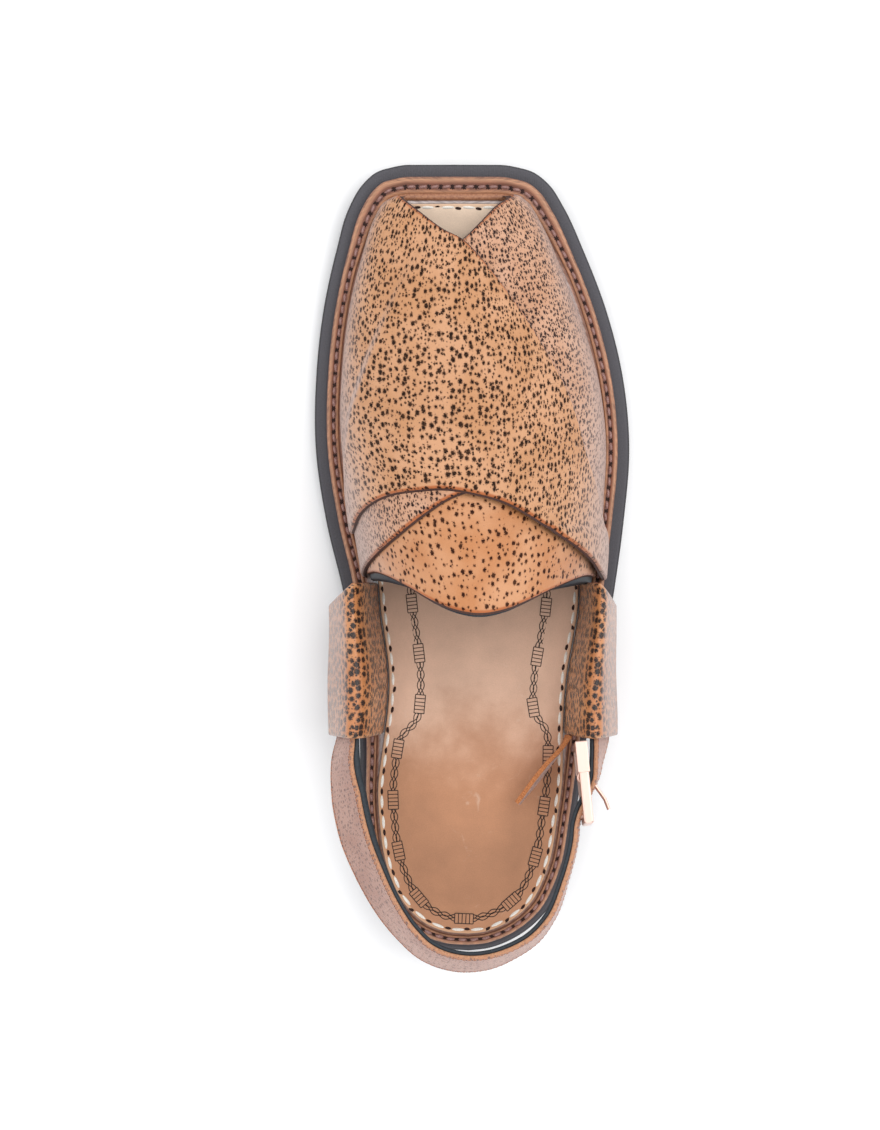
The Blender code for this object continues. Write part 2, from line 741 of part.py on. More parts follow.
def prong_points():
    """The prong's wire in the buckle's frame: an eye round the bar, a straight run and a bent tip."""
    middle = Vector((0.0, bar_place(), 0.0))
    radius = BAR_RADIUS + PRONG_RADIUS + SEAT_GAP
    leave = PRONG_HEADING + 90.0
    points = []
    for step in range(PRONG_EYE_STEPS, -1, -1):
        angle = math.radians(leave + PRONG_EYE_SWEEP * step / PRONG_EYE_STEPS)
        points.append(middle + Vector((radius * math.cos(angle), radius * math.sin(angle), 0.0)))
    for heading, length in ((PRONG_HEADING, PRONG_LENGTH), (PRONG_TIP_HEADING, PRONG_TIP)):
        turn = math.radians(heading)
        points.append(points[-1] + Vector((math.cos(turn), math.sin(turn), 0.0)) * length)
    return points


def billet_rows():
    """Middle line of the loose end, from the hem of the lateral loop back and inwards."""
    start = loop_point(1, LOOP_REAR, BILLET_START["out"], BILLET_START["up"]) - Vector((0.0, SEAT_GAP, 0.0))
    line = []
    for back, inward, rise, lean in BILLET_ROWS:
        line.append((start + Vector((-inward, -back, rise)) * BILLET_LENGTH, lean))
    return line


def wire(name, points, radius):
    """A round wire through the points, as a closed mesh."""
    curve = bpy.data.curves.new(name, "CURVE")
    curve.dimensions = "3D"
    curve.bevel_depth = radius
    curve.bevel_resolution = 2
    curve.use_fill_caps = True
    spline = curve.splines.new("POLY")
    spline.points.add(len(points) - 1)
    for target, point in zip(spline.points, points):
        target.co = (*point, 1.0)
    item = bpy.data.objects.new(name, curve)
    helpers.objects.link(item)
    bpy.context.view_layer.update()
    solid = bpy.data.meshes.new_from_object(item.evaluated_get(bpy.context.evaluated_depsgraph_get()))
    bpy.data.objects.remove(item, do_unlink=True)
    shell = bmesh.new()
    shell.from_mesh(solid)
    return finish_mesh(name, shell)


def clear_scene():
    for item in list(bpy.data.objects):
        bpy.data.objects.remove(item, do_unlink=True)
    for group in list(bpy.data.collections):
        bpy.data.collections.remove(group)


clear_scene()
shoe = bpy.data.collections.new("peshawari_chappal")
helpers = bpy.data.collections.new("helpers")
bpy.context.scene.collection.children.link(shoe)
bpy.context.scene.collection.children.link(helpers)

rubber = new_material("black rubber", (0.030, 0.029, 0.031), 0.55)
heel_rubber = new_material("black heel rubber", (0.025, 0.025, 0.026), 0.6)
welt_leather = new_material("welt leather", (0.44, 0.19, 0.11), 0.6)
insole_leather = new_material("insole leather", (0.68, 0.46, 0.33), 0.75)
upper_leather = new_material("grained upper leather", (0.70, 0.38, 0.20), 0.5)
tongue_leather = new_material("grained tongue leather", (0.70, 0.36, 0.19), 0.5)
loop_leather = new_material("grained loop leather", (0.58, 0.27, 0.14), 0.4)
strap_leather = new_material("grained strap leather", (0.60, 0.36, 0.25), 0.5)
billet_leather = new_material("thin strap leather", (0.50, 0.22, 0.10), 0.6)
rose_metal = new_material("rose plated metal", (0.80, 0.66, 0.60), 0.25, 1.0)
prong_metal = new_material("rose plated prong", (0.62, 0.48, 0.42), 0.3, 1.0)

# Sole
outsole = sole_layer("outsole", 0.0, OUTSOLE_SIDE, sole_rise, outsole_top, rubber)
forefoot_bars = groove_bars("forefoot_bars", BALL_REAR + TREAD_GROOVE_START, FOREFOOT_GROOVES, 0.0)
boolean(outsole, forefoot_bars, "DIFFERENCE")
heel = sole_layer("heel", HEEL_SET_BACK, HEEL_SIDE, lambda y: 0.0, lambda y: HEEL_LIFT - SEAT_GAP,
                  heel_rubber, HEEL_FRONT)
midsole = sole_layer("midsole", rim_margin, MIDSOLE_SIDE, lambda y: outsole_top(y) + SEAT_GAP, midsole_top,
                     welt_leather)
insole = sole_layer("insole", insole_margin, INSOLE_SIDE, welt_seat,
                    lambda y: welt_seat(y) + INSOLE_THICKNESS, insole_leather)

# Upper of two straps, joined where they cross
over_mesh = leather_sheet("upper", OVER_STRAP_EDGES, over_lift,
                          lambda along, across: over_lift(along, across) + STRAP_LEATHER, STRAP_GRID)
under_mesh = leather_sheet("under_strap", UNDER_STRAP_EDGES, lambda along, across: 0.0,
                           lambda along, across: STRAP_LEATHER, STRAP_GRID)
upper = keep("upper", over_mesh, upper_leather)
under_strap = helper("under_strap", under_mesh)
boolean(upper, under_strap, "UNION")
upper.modifiers.new("triangles", "TRIANGULATE")

tongue_mesh = leather_sheet("tongue", TONGUE_EDGES, lambda along, across: -TONGUE_GAP - TONGUE_THICKNESS,
                            lambda along, across: -TONGUE_GAP, TONGUE_GRID)
tongue = keep("tongue", tongue_mesh, tongue_leather)

# Side loops and heel strap
loop_medial = side_loop("loop_medial", -1, loop_leather)
loop_lateral = side_loop("loop_lateral", 1, loop_leather)
strap_mesh = band("heel_strap", heel_strap_rows(), lambda share: HEEL_STRAP_WIDTH, HEEL_STRAP_THICKNESS,
                  HEEL_STRAP_CORNER, 3)
heel_strap = keep("heel_strap", strap_mesh, strap_leather)

# Buckle with its prong through the strap, and the loose end
buckle_frame = make_buckle_frame(rose_metal)
prong_route = prong_points()
buckle_prong = keep("buckle_prong", wire("buckle_prong", prong_route, PRONG_RADIUS), prong_metal)
buckle_prong.matrix_world = buckle_place()
prong_hole = helper("prong_hole", wire("prong_hole", prong_route[-4:], PRONG_RADIUS + PRONG_HOLE_PLAY))
prong_hole.matrix_world = buckle_place()
boolean(heel_strap, prong_hole, "DIFFERENCE")
heel_strap.modifiers.new("triangles", "TRIANGULATE")

billet_line = billet_rows()
billet_mesh = band("billet", billet_line,
                   lambda share: BILLET_WIDTH * (1 - BILLET_TAPER * change(share, (BILLET_TAPER_START, 1.0))),
                   BILLET_THICKNESS, BILLET_CORNER, 3)
billet = keep("billet", billet_mesh, billet_leather)
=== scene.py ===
# Right-foot peshawari sandal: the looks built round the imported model.
# Metres, toe along +Y, lateral side along +X, up +Z.
import math
import random

import bmesh
import bpy
import numpy as np
from mathutils import Matrix, Vector


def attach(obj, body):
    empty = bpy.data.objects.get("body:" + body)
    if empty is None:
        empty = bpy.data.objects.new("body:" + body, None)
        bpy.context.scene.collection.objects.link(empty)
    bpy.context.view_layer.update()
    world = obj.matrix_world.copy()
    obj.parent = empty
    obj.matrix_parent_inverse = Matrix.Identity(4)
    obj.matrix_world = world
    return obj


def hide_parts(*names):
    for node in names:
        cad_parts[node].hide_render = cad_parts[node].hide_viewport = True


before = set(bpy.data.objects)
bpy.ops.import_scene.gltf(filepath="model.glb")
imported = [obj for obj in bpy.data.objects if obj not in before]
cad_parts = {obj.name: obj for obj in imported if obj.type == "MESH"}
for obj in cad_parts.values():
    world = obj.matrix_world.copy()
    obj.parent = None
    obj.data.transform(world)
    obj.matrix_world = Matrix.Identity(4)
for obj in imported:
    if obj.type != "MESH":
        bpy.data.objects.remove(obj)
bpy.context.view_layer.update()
random.seed(7)
print("frame loaded with", len(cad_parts), "nodes")

mm = 0.001

# Sizes that the pieces share, as the model has them
shoe = {
    "length": 0.309,
    "ballWidth": 0.124,
    "rear": -0.030,
    "heelLift": 0.012,
    "heelLength": 0.082,
    "toeSpring": 0.005,
    "ballRear": 0.555,
    "ballFront": 0.760,
    "outsole": 0.008,
    "midsole": 0.0036,
    "insole": 0.003,
    "rim": 0.0048,
    "heelRim": 0.0026,
    "toeRim": 0.0051,
    "welt": 0.0055,
    "leather": 0.0018,
    "instep": 0.080,
    "toeSetBack": 0.0008,
    "insoleMargins": (0.0072, 0.0130, 0.0152, 0.0158),  # heel, waist, forefoot, toe
    "gap": 0.0003,
}

# share of the length, then medial and lateral half widths as shares of the ball's width
soleRows = [
    (0.000, 0.000, 0.000),
    (0.003, 0.080, 0.062),
    (0.017, 0.168, 0.150),
    (0.046, 0.246, 0.238),
    (0.098, 0.310, 0.304),
    (0.175, 0.341, 0.341),
    (0.265, 0.343, 0.372),
    (0.355, 0.357, 0.418),
    (0.450, 0.395, 0.462),
    (0.545, 0.452, 0.496),
    (0.640, 0.486, 0.514),
    (0.730, 0.484, 0.493),
    (0.815, 0.461, 0.440),
    (0.890, 0.420, 0.368),
    (0.944, 0.380, 0.306),
    (0.9745, 0.335, 0.256),
    (0.9895, 0.292, 0.208),
    (0.9965, 0.236, 0.149),
    (0.9993, 0.042, -0.042),
]

# share of the length, crest height, crest's lean to the medial side, spread of the medial and lateral walls
lastRows = [
    (0.380, 1.060, 0.020, 0.60, 0.90),
    (0.430, 1.000, 0.030, 0.50, 0.90),
    (0.500, 0.910, 0.038, 0.15, 0.75),
    (0.560, 0.815, 0.037, -0.10, 0.28),
    (0.600, 0.750, 0.034, -0.20, 0.18),
    (0.640, 0.680, 0.030, -0.05, 0.16),
    (0.700, 0.575, 0.022, 0.00, 0.10),
    (0.765, 0.460, 0.014, 0.00, -0.05),
    (0.830, 0.360, 0.007, 0.00, -0.22),
    (0.905, 0.250, 0.000, 0.00, -0.05),
    (0.960, 0.160, 0.000, 0.00, 0.00),
    (0.985, 0.120, 0.000, 0.00, 0.00),
]


def smoothCurve(points, perSpan):
    # cubic through the points; the tangent at each comes from the chords on both its sides
    points = np.asarray(points, float)
    steps = np.diff(points, axis=0)
    chords = np.maximum(np.linalg.norm(steps, axis=1), 1e-9)
    slopes = steps / chords[:, None]
    before, after = chords[:-1, None], chords[1:, None]
    middle = (slopes[:-1] * after + slopes[1:] * before) / (before + after)
    tangents = np.vstack((slopes[:1], middle, slopes[-1:]))
    t = (np.arange(perSpan) / perSpan)[:, None]
    curve = []
    for i, chord in enumerate(chords):
        start = (1 + 2 * t) * (1 - t) ** 2 * points[i] + t * (1 - t) ** 2 * chord * tangents[i]
        end = t * t * (3 - 2 * t) * points[i + 1] - t * t * (1 - t) * chord * tangents[i + 1]
        curve.append(start + end)
    return np.vstack(curve + [points[-1:]])


def columnReader(rows, column):
    curve = smoothCurve([(row[0], row[column]) for row in rows], 40)
    return lambda place: np.interp(place, curve[:, 0], curve[:, 1])


def ease(value):
    value = np.clip(value, 0.0, 1.0)
    return value * value * (3 - 2 * value)


def placeAlong(share):
    return shoe["rear"] + share * shoe["length"]


def shareAlong(y):
    return (y - shoe["rear"]) / shoe["length"]


def soleRise(y):
    # heel, arch, flat ball and toe spring
    archStart = shoe["rear"] + shoe["heelLength"]
    ballRear, ballFront = placeAlong(shoe["ballRear"]), placeAlong(shoe["ballFront"])
    lift = shoe["heelLift"] * (1 - ease((y - archStart) / (ballRear - archStart)))
    spring = np.maximum(y - ballFront, 0.0) / (placeAlong(1.0) - ballFront)
    return lift + shoe["toeSpring"] * spring ** 1.7


def outsoleTop(y):
    return soleRise(y) + shoe["outsole"]


def midsoleTop(y):
    return outsoleTop(y) + shoe["gap"] + shoe["midsole"]


def weltSeat(y):
    return midsoleTop(y) + shoe["gap"]


def insetEdge(side, margin, perSpan=12):
    # one side of the sole's outline from heel to toe, moved inwards
    column = 1 if side < 0 else 2
    rows = [(side * row[column] * shoe["ballWidth"], placeAlong(row[0])) for row in soleRows]
    curve = smoothCurve(rows, perSpan)
    before = np.vstack((curve[:1], curve[:-1]))
    after = np.vstack((curve[1:], curve[-1:]))
    before[0] = (-curve[1, 0], curve[1, 1])
    after[-1] = (2 * curve[-1, 0] - curve[-2, 0], curve[-2, 1])
    forward = after - before
    forward /= np.linalg.norm(forward, axis=1)[:, None]
    inward = np.stack((-side * forward[:, 1], side * forward[:, 0]), axis=1)
    amount = margin(shareAlong(curve[:, 1])) if callable(margin) else margin
    inset = curve + inward * np.broadcast_to(amount, len(curve))[:, None]
    # near the toe's corners a wide margin would fold the edge: it keeps running forwards and inwards
    drift = 0.004 * mm * np.arange(len(inset))
    inset[:, 1] = np.minimum.accumulate((inset[:, 1] - drift)[::-1])[::-1] + drift
    ahead = inset[:, 1] > placeAlong(shoe["ballFront"])
    inset[ahead, 0] = side * (np.minimum.accumulate(side * inset[ahead, 0] + drift[ahead]) - drift[ahead])
    return inset


def insetRing(margin):
    # the whole outline: medial side to the toe, then the lateral side back to the heel
    return np.vstack((insetEdge(-1, margin), insetEdge(1, margin)[::-1][1:-1]))


def edgeReader(side, margin):
    edge = insetEdge(side, margin, 16)
    places = np.maximum.accumulate(edge[:, 1])
    return lambda y: np.interp(y, places, edge[:, 0])


def insoleMargin(share):
    heel, waist, forefoot, toe = shoe["insoleMargins"]
    margin = heel + (waist - heel) * ease((share - 0.20) / 0.16)
    margin = margin + (forefoot - waist) * ease((share - 0.41) / 0.08)
    return margin + (toe - forefoot) * ease((share - 0.85) / 0.12)


def rimMargin(share):
    # the rubber shows as a narrow line round the heel and is widest at the toe
    margin = shoe["heelRim"] + (shoe["rim"] - shoe["heelRim"]) * ease((share - 0.22) / 0.30)
    return margin + (shoe["toeRim"] - shoe["rim"]) * ease((share - 0.86) / 0.14)


def lastMargin(share):
    return shoe["rim"] + shoe["welt"] + shoe["leather"] + shoe["toeSetBack"] * ease((share - 0.84) / 0.12)


medialWall = edgeReader(-1, lastMargin)
lateralWall = edgeReader(1, lastMargin)
crestHeight = columnReader(lastRows, 1)
crestLean = columnReader(lastRows, 2)
medialSpread = columnReader(lastRows, 3)
lateralSpread = columnReader(lastRows, 4)


def lastSurface(along, across):
    y = placeAlong(along)
    medial = medialWall(y) - medialSpread(along) * shoe["welt"]
    lateral = lateralWall(y) + lateralSpread(along) * shoe["welt"]
    angle = math.pi * across
    x = (medial + lateral) / 2 - (lateral - medial) / 2 * np.cos(angle)
    x = x - crestLean(along) * shoe["ballWidth"] * np.sin(angle)
    z = weltSeat(y) + shoe["instep"] * crestHeight(along) * np.sin(angle)
    return np.stack((x, y, z), axis=-1)


def lastPoint(along, across, lift):
    step = 0.002
    forward = lastSurface(along + step, across) - lastSurface(along - step, across)
    sideways = lastSurface(along, across + step) - lastSurface(along, across - step)
    outward = np.cross(sideways, forward)
    outward /= np.linalg.norm(outward, axis=-1, keepdims=True)
    point = lastSurface(along, across) + outward * np.asarray(lift)[..., None]
    point[..., 2] = np.maximum(point[..., 2], weltSeat(point[..., 1]))
    return point


# Camera, floor and light: seen straight from above, as in the photograph
studio = {
    "cameraPlace": (-0.0111, 0.1211, 1.45),
    "frameHeight": 0.4486,  # metres of floor from the top of the frame to its foot
    "sensor": 36.0,
    "floorHalf": 4.0,
    "floorColour": "#FBFAF9",
    "skyColour": "#F4F6FA",
    "skyStrength": 0.86,
}

# name, place, aimed at, width, power
lampRows = [
    ("keyLamp", (0.70, 0.60, 1.40), (0.0, 0.12, 0.02), 1.7, 14.5),
    ("fillLamp", (-0.95, 0.35, 1.1), (0.0, 0.12, 0.02), 1.5, 5.0),
    ("heelLamp", (0.15, -0.95, 1.0), (0.0, 0.05, 0.04), 1.3, 4.5),
]


def linear(hexColour):
    # sRGB hex to the linear colour that the shaders take
    parts = [int(hexColour[i:i + 2], 16) / 255 for i in (1, 3, 5)]
    bright = [part / 12.92 if part <= 0.04045 else ((part + 0.055) / 1.055) ** 2.4 for part in parts]
    return (*bright, 1.0)


def addNode(tree, kind, settings=None, links=None):
    item = tree.nodes.new("ShaderNode" + kind)
    for name, value in (settings or {}).items():
        if isinstance(name, str) and hasattr(item, name):
            setattr(item, name, value)
        else:
            item.inputs[name].default_value = value
    for name, source in (links or {}).items():
        tree.links.new(source, item.inputs[name])
    return item


def newMaterial(name, settings):
    material = bpy.data.materials.new(name)
    material.use_nodes = True
    tree = material.node_tree
    shader = tree.nodes["Principled BSDF"]
    for socket, value in settings.items():
        shader.inputs[socket].default_value = value
    return material, tree, shader


camera = bpy.data.objects.new("camera", bpy.data.cameras.new("camera"))
camera.location = studio["cameraPlace"]
camera.data.sensor_width = studio["sensor"]
camera.data.lens = studio["sensor"] * studio["cameraPlace"][2] / studio["frameHeight"]
camera.data.clip_end = 20.0
bpy.context.scene.collection.objects.link(camera)
bpy.context.scene.camera = camera
bpy.context.scene.view_settings.view_transform = "Standard"

for name, place, target, width, power in lampRows:
    lamp = bpy.data.objects.new(name, bpy.data.lights.new(name, "AREA"))
    lamp.data.shape = "DISK"
    lamp.data.size = width
    lamp.data.energy = power
    lamp.location = place
    lamp.rotation_euler = (Vector(target) - Vector(place)).to_track_quat("-Z", "Y").to_euler()
    bpy.context.scene.collection.objects.link(lamp)

sky = bpy.data.worlds.new("studioSky")
sky.use_nodes = True
sky.node_tree.nodes["Background"].inputs["Color"].default_value = linear(studio["skyColour"])
sky.node_tree.nodes["Background"].inputs["Strength"].default_value = studio["skyStrength"]
bpy.context.scene.world = sky

# matt painted board: an even white that keeps only a faint shadow
boardPaint, _, _ = newMaterial("mattPaintedBoard",
                               {"Base Color": linear(studio["floorColour"]), "Roughness": 0.9})
half = studio["floorHalf"]
floorMesh = bpy.data.meshes.new("floor")
floorMesh.from_pydata([(-half, -half, 0), (half, -half, 0), (half, half, 0), (-half, half, 0)], [],
                      [(0, 1, 2, 3)])
floorMesh.materials.append(boardPaint)
floor = bpy.data.objects.new("floor", floorMesh)
bpy.context.scene.collection.objects.link(floor)
print("camera, lamps and floor placed")


def makePiece(name, points, faces, materials, picks=None, lay=None, stands=()):
    # a closed mesh that rides with the shoe; lay keeps each point's place on the flat hide, in metres
    mesh = bpy.data.meshes.new(name)
    mesh.from_pydata([tuple(point) for point in points], [], [tuple(face) for face in faces])
    for material in materials:
        mesh.materials.append(material)
    if picks is not None:
        mesh.polygons.foreach_set("material_index", np.asarray(picks, np.int32))
    if lay is not None:
        flat = np.zeros((len(points), 3), np.float32)
        flat[:, :np.shape(lay)[1]] = lay
        mesh.attributes.new("lay", "FLOAT_VECTOR", "POINT").data.foreach_set("vector", flat.ravel())
    shell = bmesh.new()
    shell.from_mesh(mesh)
    bmesh.ops.remove_doubles(shell, verts=shell.verts, dist=1e-7)
    bmesh.ops.recalc_face_normals(shell, faces=shell.faces)
    shell.to_mesh(mesh)
    shell.free()
    mesh.shade_smooth()
    mesh.set_sharp_from_angle(angle=math.radians(48))
    piece = bpy.data.objects.new(name, mesh)
    bpy.context.scene.collection.objects.link(piece)
    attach(piece, "root")
    if stands:
        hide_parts(*stands)
    return piece


def loftFaces(ringCount, ringSize, closed=True):
    faces = []
    for ring in range(ringCount - 1):
        for i in range(ringSize if closed else ringSize - 1):
            j = (i + 1) % ringSize
            a, b = ring * ringSize, (ring + 1) * ringSize
            faces.append((a + i, a + j, b + j, b + i))
    return faces


def capFaces(start, size):
    # closes a ring that begins at a tip, with quads from side to side
    faces = [(start, start + 1, start + size - 1)]
    i = 1
    while i + 1 < size - i - 1:
        faces.append((start + i, start + i + 1, start + size - i - 1, start + size - i))
        i += 1
    if i + 1 == size - i - 1:
        faces.append((start + i, start + i + 1, start + size - i))
    return faces


def runLength(points):
    steps = np.linalg.norm(np.diff(points, axis=0), axis=1)
    return np.concatenate(([0.0], np.cumsum(steps)))


def solePiece(name, rows, margin, materials, stands, front=None, stretch=None):
    # rows from foot to top: inset beyond the margin in mm, then the height as a function of y;
    # front cuts the piece off squarely there, as the heel block's breast is
    rings, lays = [], []
    profile = 0.0
    skip = 1 if front is None else 0  # the two sides share their toe point only where the piece runs to it
    for inset, height in rows:
        def reach(share, extra=inset * mm):
            base = margin(share) if callable(margin) else margin
            return base + extra * (stretch(share) if stretch else 1.0)

        edges = [insetEdge(side, reach) for side in (-1, 1)]
        if front is not None:
            limit = front - inset * mm
            keep = int(np.searchsorted(insetEdge(-1, 0.0)[:, 1], front - 4 * mm))
            edges = [np.vstack((edge[:keep], (np.interp(limit, edge[:, 1], edge[:, 0]), limit)))
                     for edge in edges]
        ring = np.vstack((edges[0], edges[1][::-1][skip:-1]))
        points = np.column_stack((ring, height(ring[:, 1])))
        if rings:
            profile += float(np.median(np.linalg.norm(points - rings[-1], axis=1)))
        around = np.concatenate((runLength(edges[0]), runLength(edges[1])[::-1][skip:-1]))
        rings.append(points)
        lays.append(np.column_stack((around, np.full(len(ring), profile), np.full(len(ring), inset * mm))))
    size = len(rings[0])
    faces = loftFaces(len(rings), size) + capFaces(0, size) + capFaces((len(rings) - 1) * size, size)
    return makePiece(name, np.vstack(rings), faces, materials, None, np.vstack(lays), stands)


def cutBy(piece, bars):
    # cuts the piece with a set of bars, then drops the bars
    cut = piece.modifiers.new("cut", "BOOLEAN")
    cut.operation = "DIFFERENCE"
    cut.solver = "EXACT"
    cut.object = bars
    bpy.context.view_layer.update()
    ready = bpy.data.meshes.new_from_object(piece.evaluated_get(bpy.context.evaluated_depsgraph_get()))
    piece.modifiers.clear()
    piece.data = ready
    bpy.data.objects.remove(bars, do_unlink=True)


def treadBars(rows):
    # cross bars on the tread's plane: first bar's y, count, pitch, width, depth
    shell = bmesh.new()
    for first, count, pitch, width, depth in rows:
        for i in range(count):
            size = Matrix.Diagonal((shoe["ballWidth"] * 1.2, width, 2 * depth, 1.0))
            bmesh.ops.create_cube(shell, size=1.0, matrix=Matrix.Translation((0, first + i * pitch, 0)) @ size)
    mesh = bpy.data.meshes.new("bars")
    shell.to_mesh(mesh)
    shell.free()
    bars = bpy.data.objects.new("bars", mesh)
    bpy.context.scene.collection.objects.link(bars)
    return bars


def rowFrames(path, normals, pitch, first=0.0, finish=0.0):
    # places at an even pitch along a path, each with its forward, side and up directions
    path = np.asarray(path, float)
    run = runLength(path)
    count = int((run[-1] - first - finish) / pitch)
    spots = first + (np.arange(count) + 0.5) * (run[-1] - first - finish) / count
    at = np.column_stack([np.interp(spots, run, path[:, k]) for k in range(3)])
    ahead = np.column_stack([np.interp(spots + 0.4 * mm, run, path[:, k]) for k in range(3)])
    behind = np.column_stack([np.interp(spots - 0.4 * mm, run, path[:, k]) for k in range(3)])
    up = np.column_stack([np.interp(spots, run, np.asarray(normals, float)[:, k]) for k in range(3)])
    forward = ahead - behind
    forward /= np.linalg.norm(forward, axis=1)[:, None]
    side = np.cross(up, forward)
    side /= np.linalg.norm(side, axis=1)[:, None]
    return at, forward, side, np.cross(forward, side)


def bead(length, width, height, rings=7, sides=8):
    # one laid stitch: a rounded rod with its ends tucked down
    points = []
    for i in range(rings):
        u = 2 * (i + 0.5) / rings - 1
        fat = math.sqrt(max(1 - u * u * 0.92, 0.02))
        for j in range(sides):
            turn = 2 * math.pi * j / sides
            points.append((u * length / 2, math.cos(turn) * width / 2 * fat,
                           math.sin(turn) * height / 2 * fat - height * 0.42 * u * u))
    points += [(-length / 2 * 1.02, 0, -height * 0.45), (length / 2 * 1.02, 0, -height * 0.45)]
    faces = loftFaces(rings, sides)
    end = rings * sides
    faces += [(j, (j + 1) % sides, end) for j in range(sides)]
    faces += [((rings - 1) * sides + j, (rings - 1) * sides + (j + 1) % sides, end + 1) for j in range(sides)]
    return np.array(points), faces


def stamp(shape, frames, shift=(0.0, 0.0, 0.0), twist=0.0, wander=0.0):
    # repeats a small shape at each place, a little unevenly, as hand-led stitches are
    points, faces = shape
    at, forward, side, up = frames
    allPoints, allFaces = [], []
    for i in range(len(at)):
        turn = twist + random.uniform(-wander, wander)
        c, s = math.cos(turn), math.sin(turn)
        ahead = forward[i] * c + side[i] * s
        beside = side[i] * c - forward[i] * s
        local = points + np.array(shift)
        placed = at[i] + local[:, :1] * ahead + local[:, 1:2] * beside + local[:, 2:] * up[i]
        allFaces += [tuple(v + i * len(points) for v in face) for face in faces]
        allPoints.append(placed)
    return np.vstack(allPoints), allFaces


def joinShapes(parts):
    points, faces, picks = [], [], []
    start = 0
    for pick, (shapePoints, shapeFaces) in enumerate(parts):
        points.append(shapePoints)
        faces += [tuple(v + start for v in face) for face in shapeFaces]
        picks += [pick] * len(shapeFaces)
        start += len(shapePoints)
    return np.vstack(points), faces, picks


def flatPlace(tree):
    # the point's place on the flat hide, its run along it, and its distance from the cut edge
    lay = addNode(tree, "Attribute", {"attribute_name": "lay"})
    split = addNode(tree, "SeparateXYZ", None, {0: lay.outputs["Vector"]})
    return lay.outputs["Vector"], split.outputs["Y"], split.outputs["Z"]


# Vulcanised rubber, moulded: nearly black, dull, with a greyer top and its sides darkened by their facing as
# painted shade
rubberLook = {
    "side": "#262327",
    "topGrey": "#47454A",
    "ribPitch": 0.9 * mm,  # fine ribs on the toe's rim, which begin between these two places along the shoe
    "ribsFrom": 0.262,
    "ribsTo": 0.272,
    "speck": 0.5 * mm,
}
rubber, tree, shader = newMaterial("vulcanisedRubber", {"Roughness": 0.62, "IOR": 1.52})
position = addNode(tree, "NewGeometry")
facing = addNode(tree, "SeparateXYZ", None, {0: position.outputs["Normal"]})
spot = addNode(tree, "SeparateXYZ", None, {0: position.outputs["Position"]})
# faces turned away from the top take the darker side tone: painted shade
topside = addNode(tree, "MapRange", {"From Min": 0.75, "From Max": 0.97}, {"Value": facing.outputs["Z"]})
speckle = addNode(tree, "TexNoise", {"Scale": 1 / rubberLook["speck"], "Detail": 3.0},
                  {"Vector": position.outputs["Position"]})
toned = addNode(tree, "Mix",
                {"data_type": "RGBA", 6: linear(rubberLook["side"]), 7: linear(rubberLook["topGrey"])},
                {0: topside.outputs[0]})
speckleAndSheenGlare = addNode(tree, "MapRange", {"From Min": 0.3, "From Max": 0.75, "To Min": 0.82, "To Max": 1.15},
                 {"Value": speckle.outputs[0]})
final = addNode(tree, "VectorMath", {"operation": "SCALE"}, {0: toned.outputs[2], "Scale": speckleAndSheenGlare.outputs[0]})
tree.links.new(final.outputs[0], shader.inputs["Base Color"])
ribs = addNode(tree, "Math", {"operation": "MULTIPLY", 1: 2 * math.pi / rubberLook["ribPitch"]},
               {0: spot.outputs["X"]})
ribWave = addNode(tree, "Math", {"operation": "SINE"}, {0: ribs.outputs[0]})
toeOnly = addNode(tree, "MapRange", {"From Min": rubberLook["ribsFrom"], "From Max": rubberLook["ribsTo"]},
                  {"Value": spot.outputs["Y"]})
ribHeight = addNode(tree, "Math", {"operation": "MULTIPLY"}, {0: ribWave.outputs[0], 1: toeOnly.outputs[0]})
relief = addNode(tree, "Math", {"operation": "MULTIPLY_ADD", 1: 0.35},
                 {0: ribHeight.outputs[0], 2: speckle.outputs[0]})
bump = addNode(tree, "Bump", {"Strength": 0.6, "Distance": 0.12 * mm}, {"Height": relief.outputs[0]})
tree.links.new(bump.outputs[0], shader.inputs["Normal"])


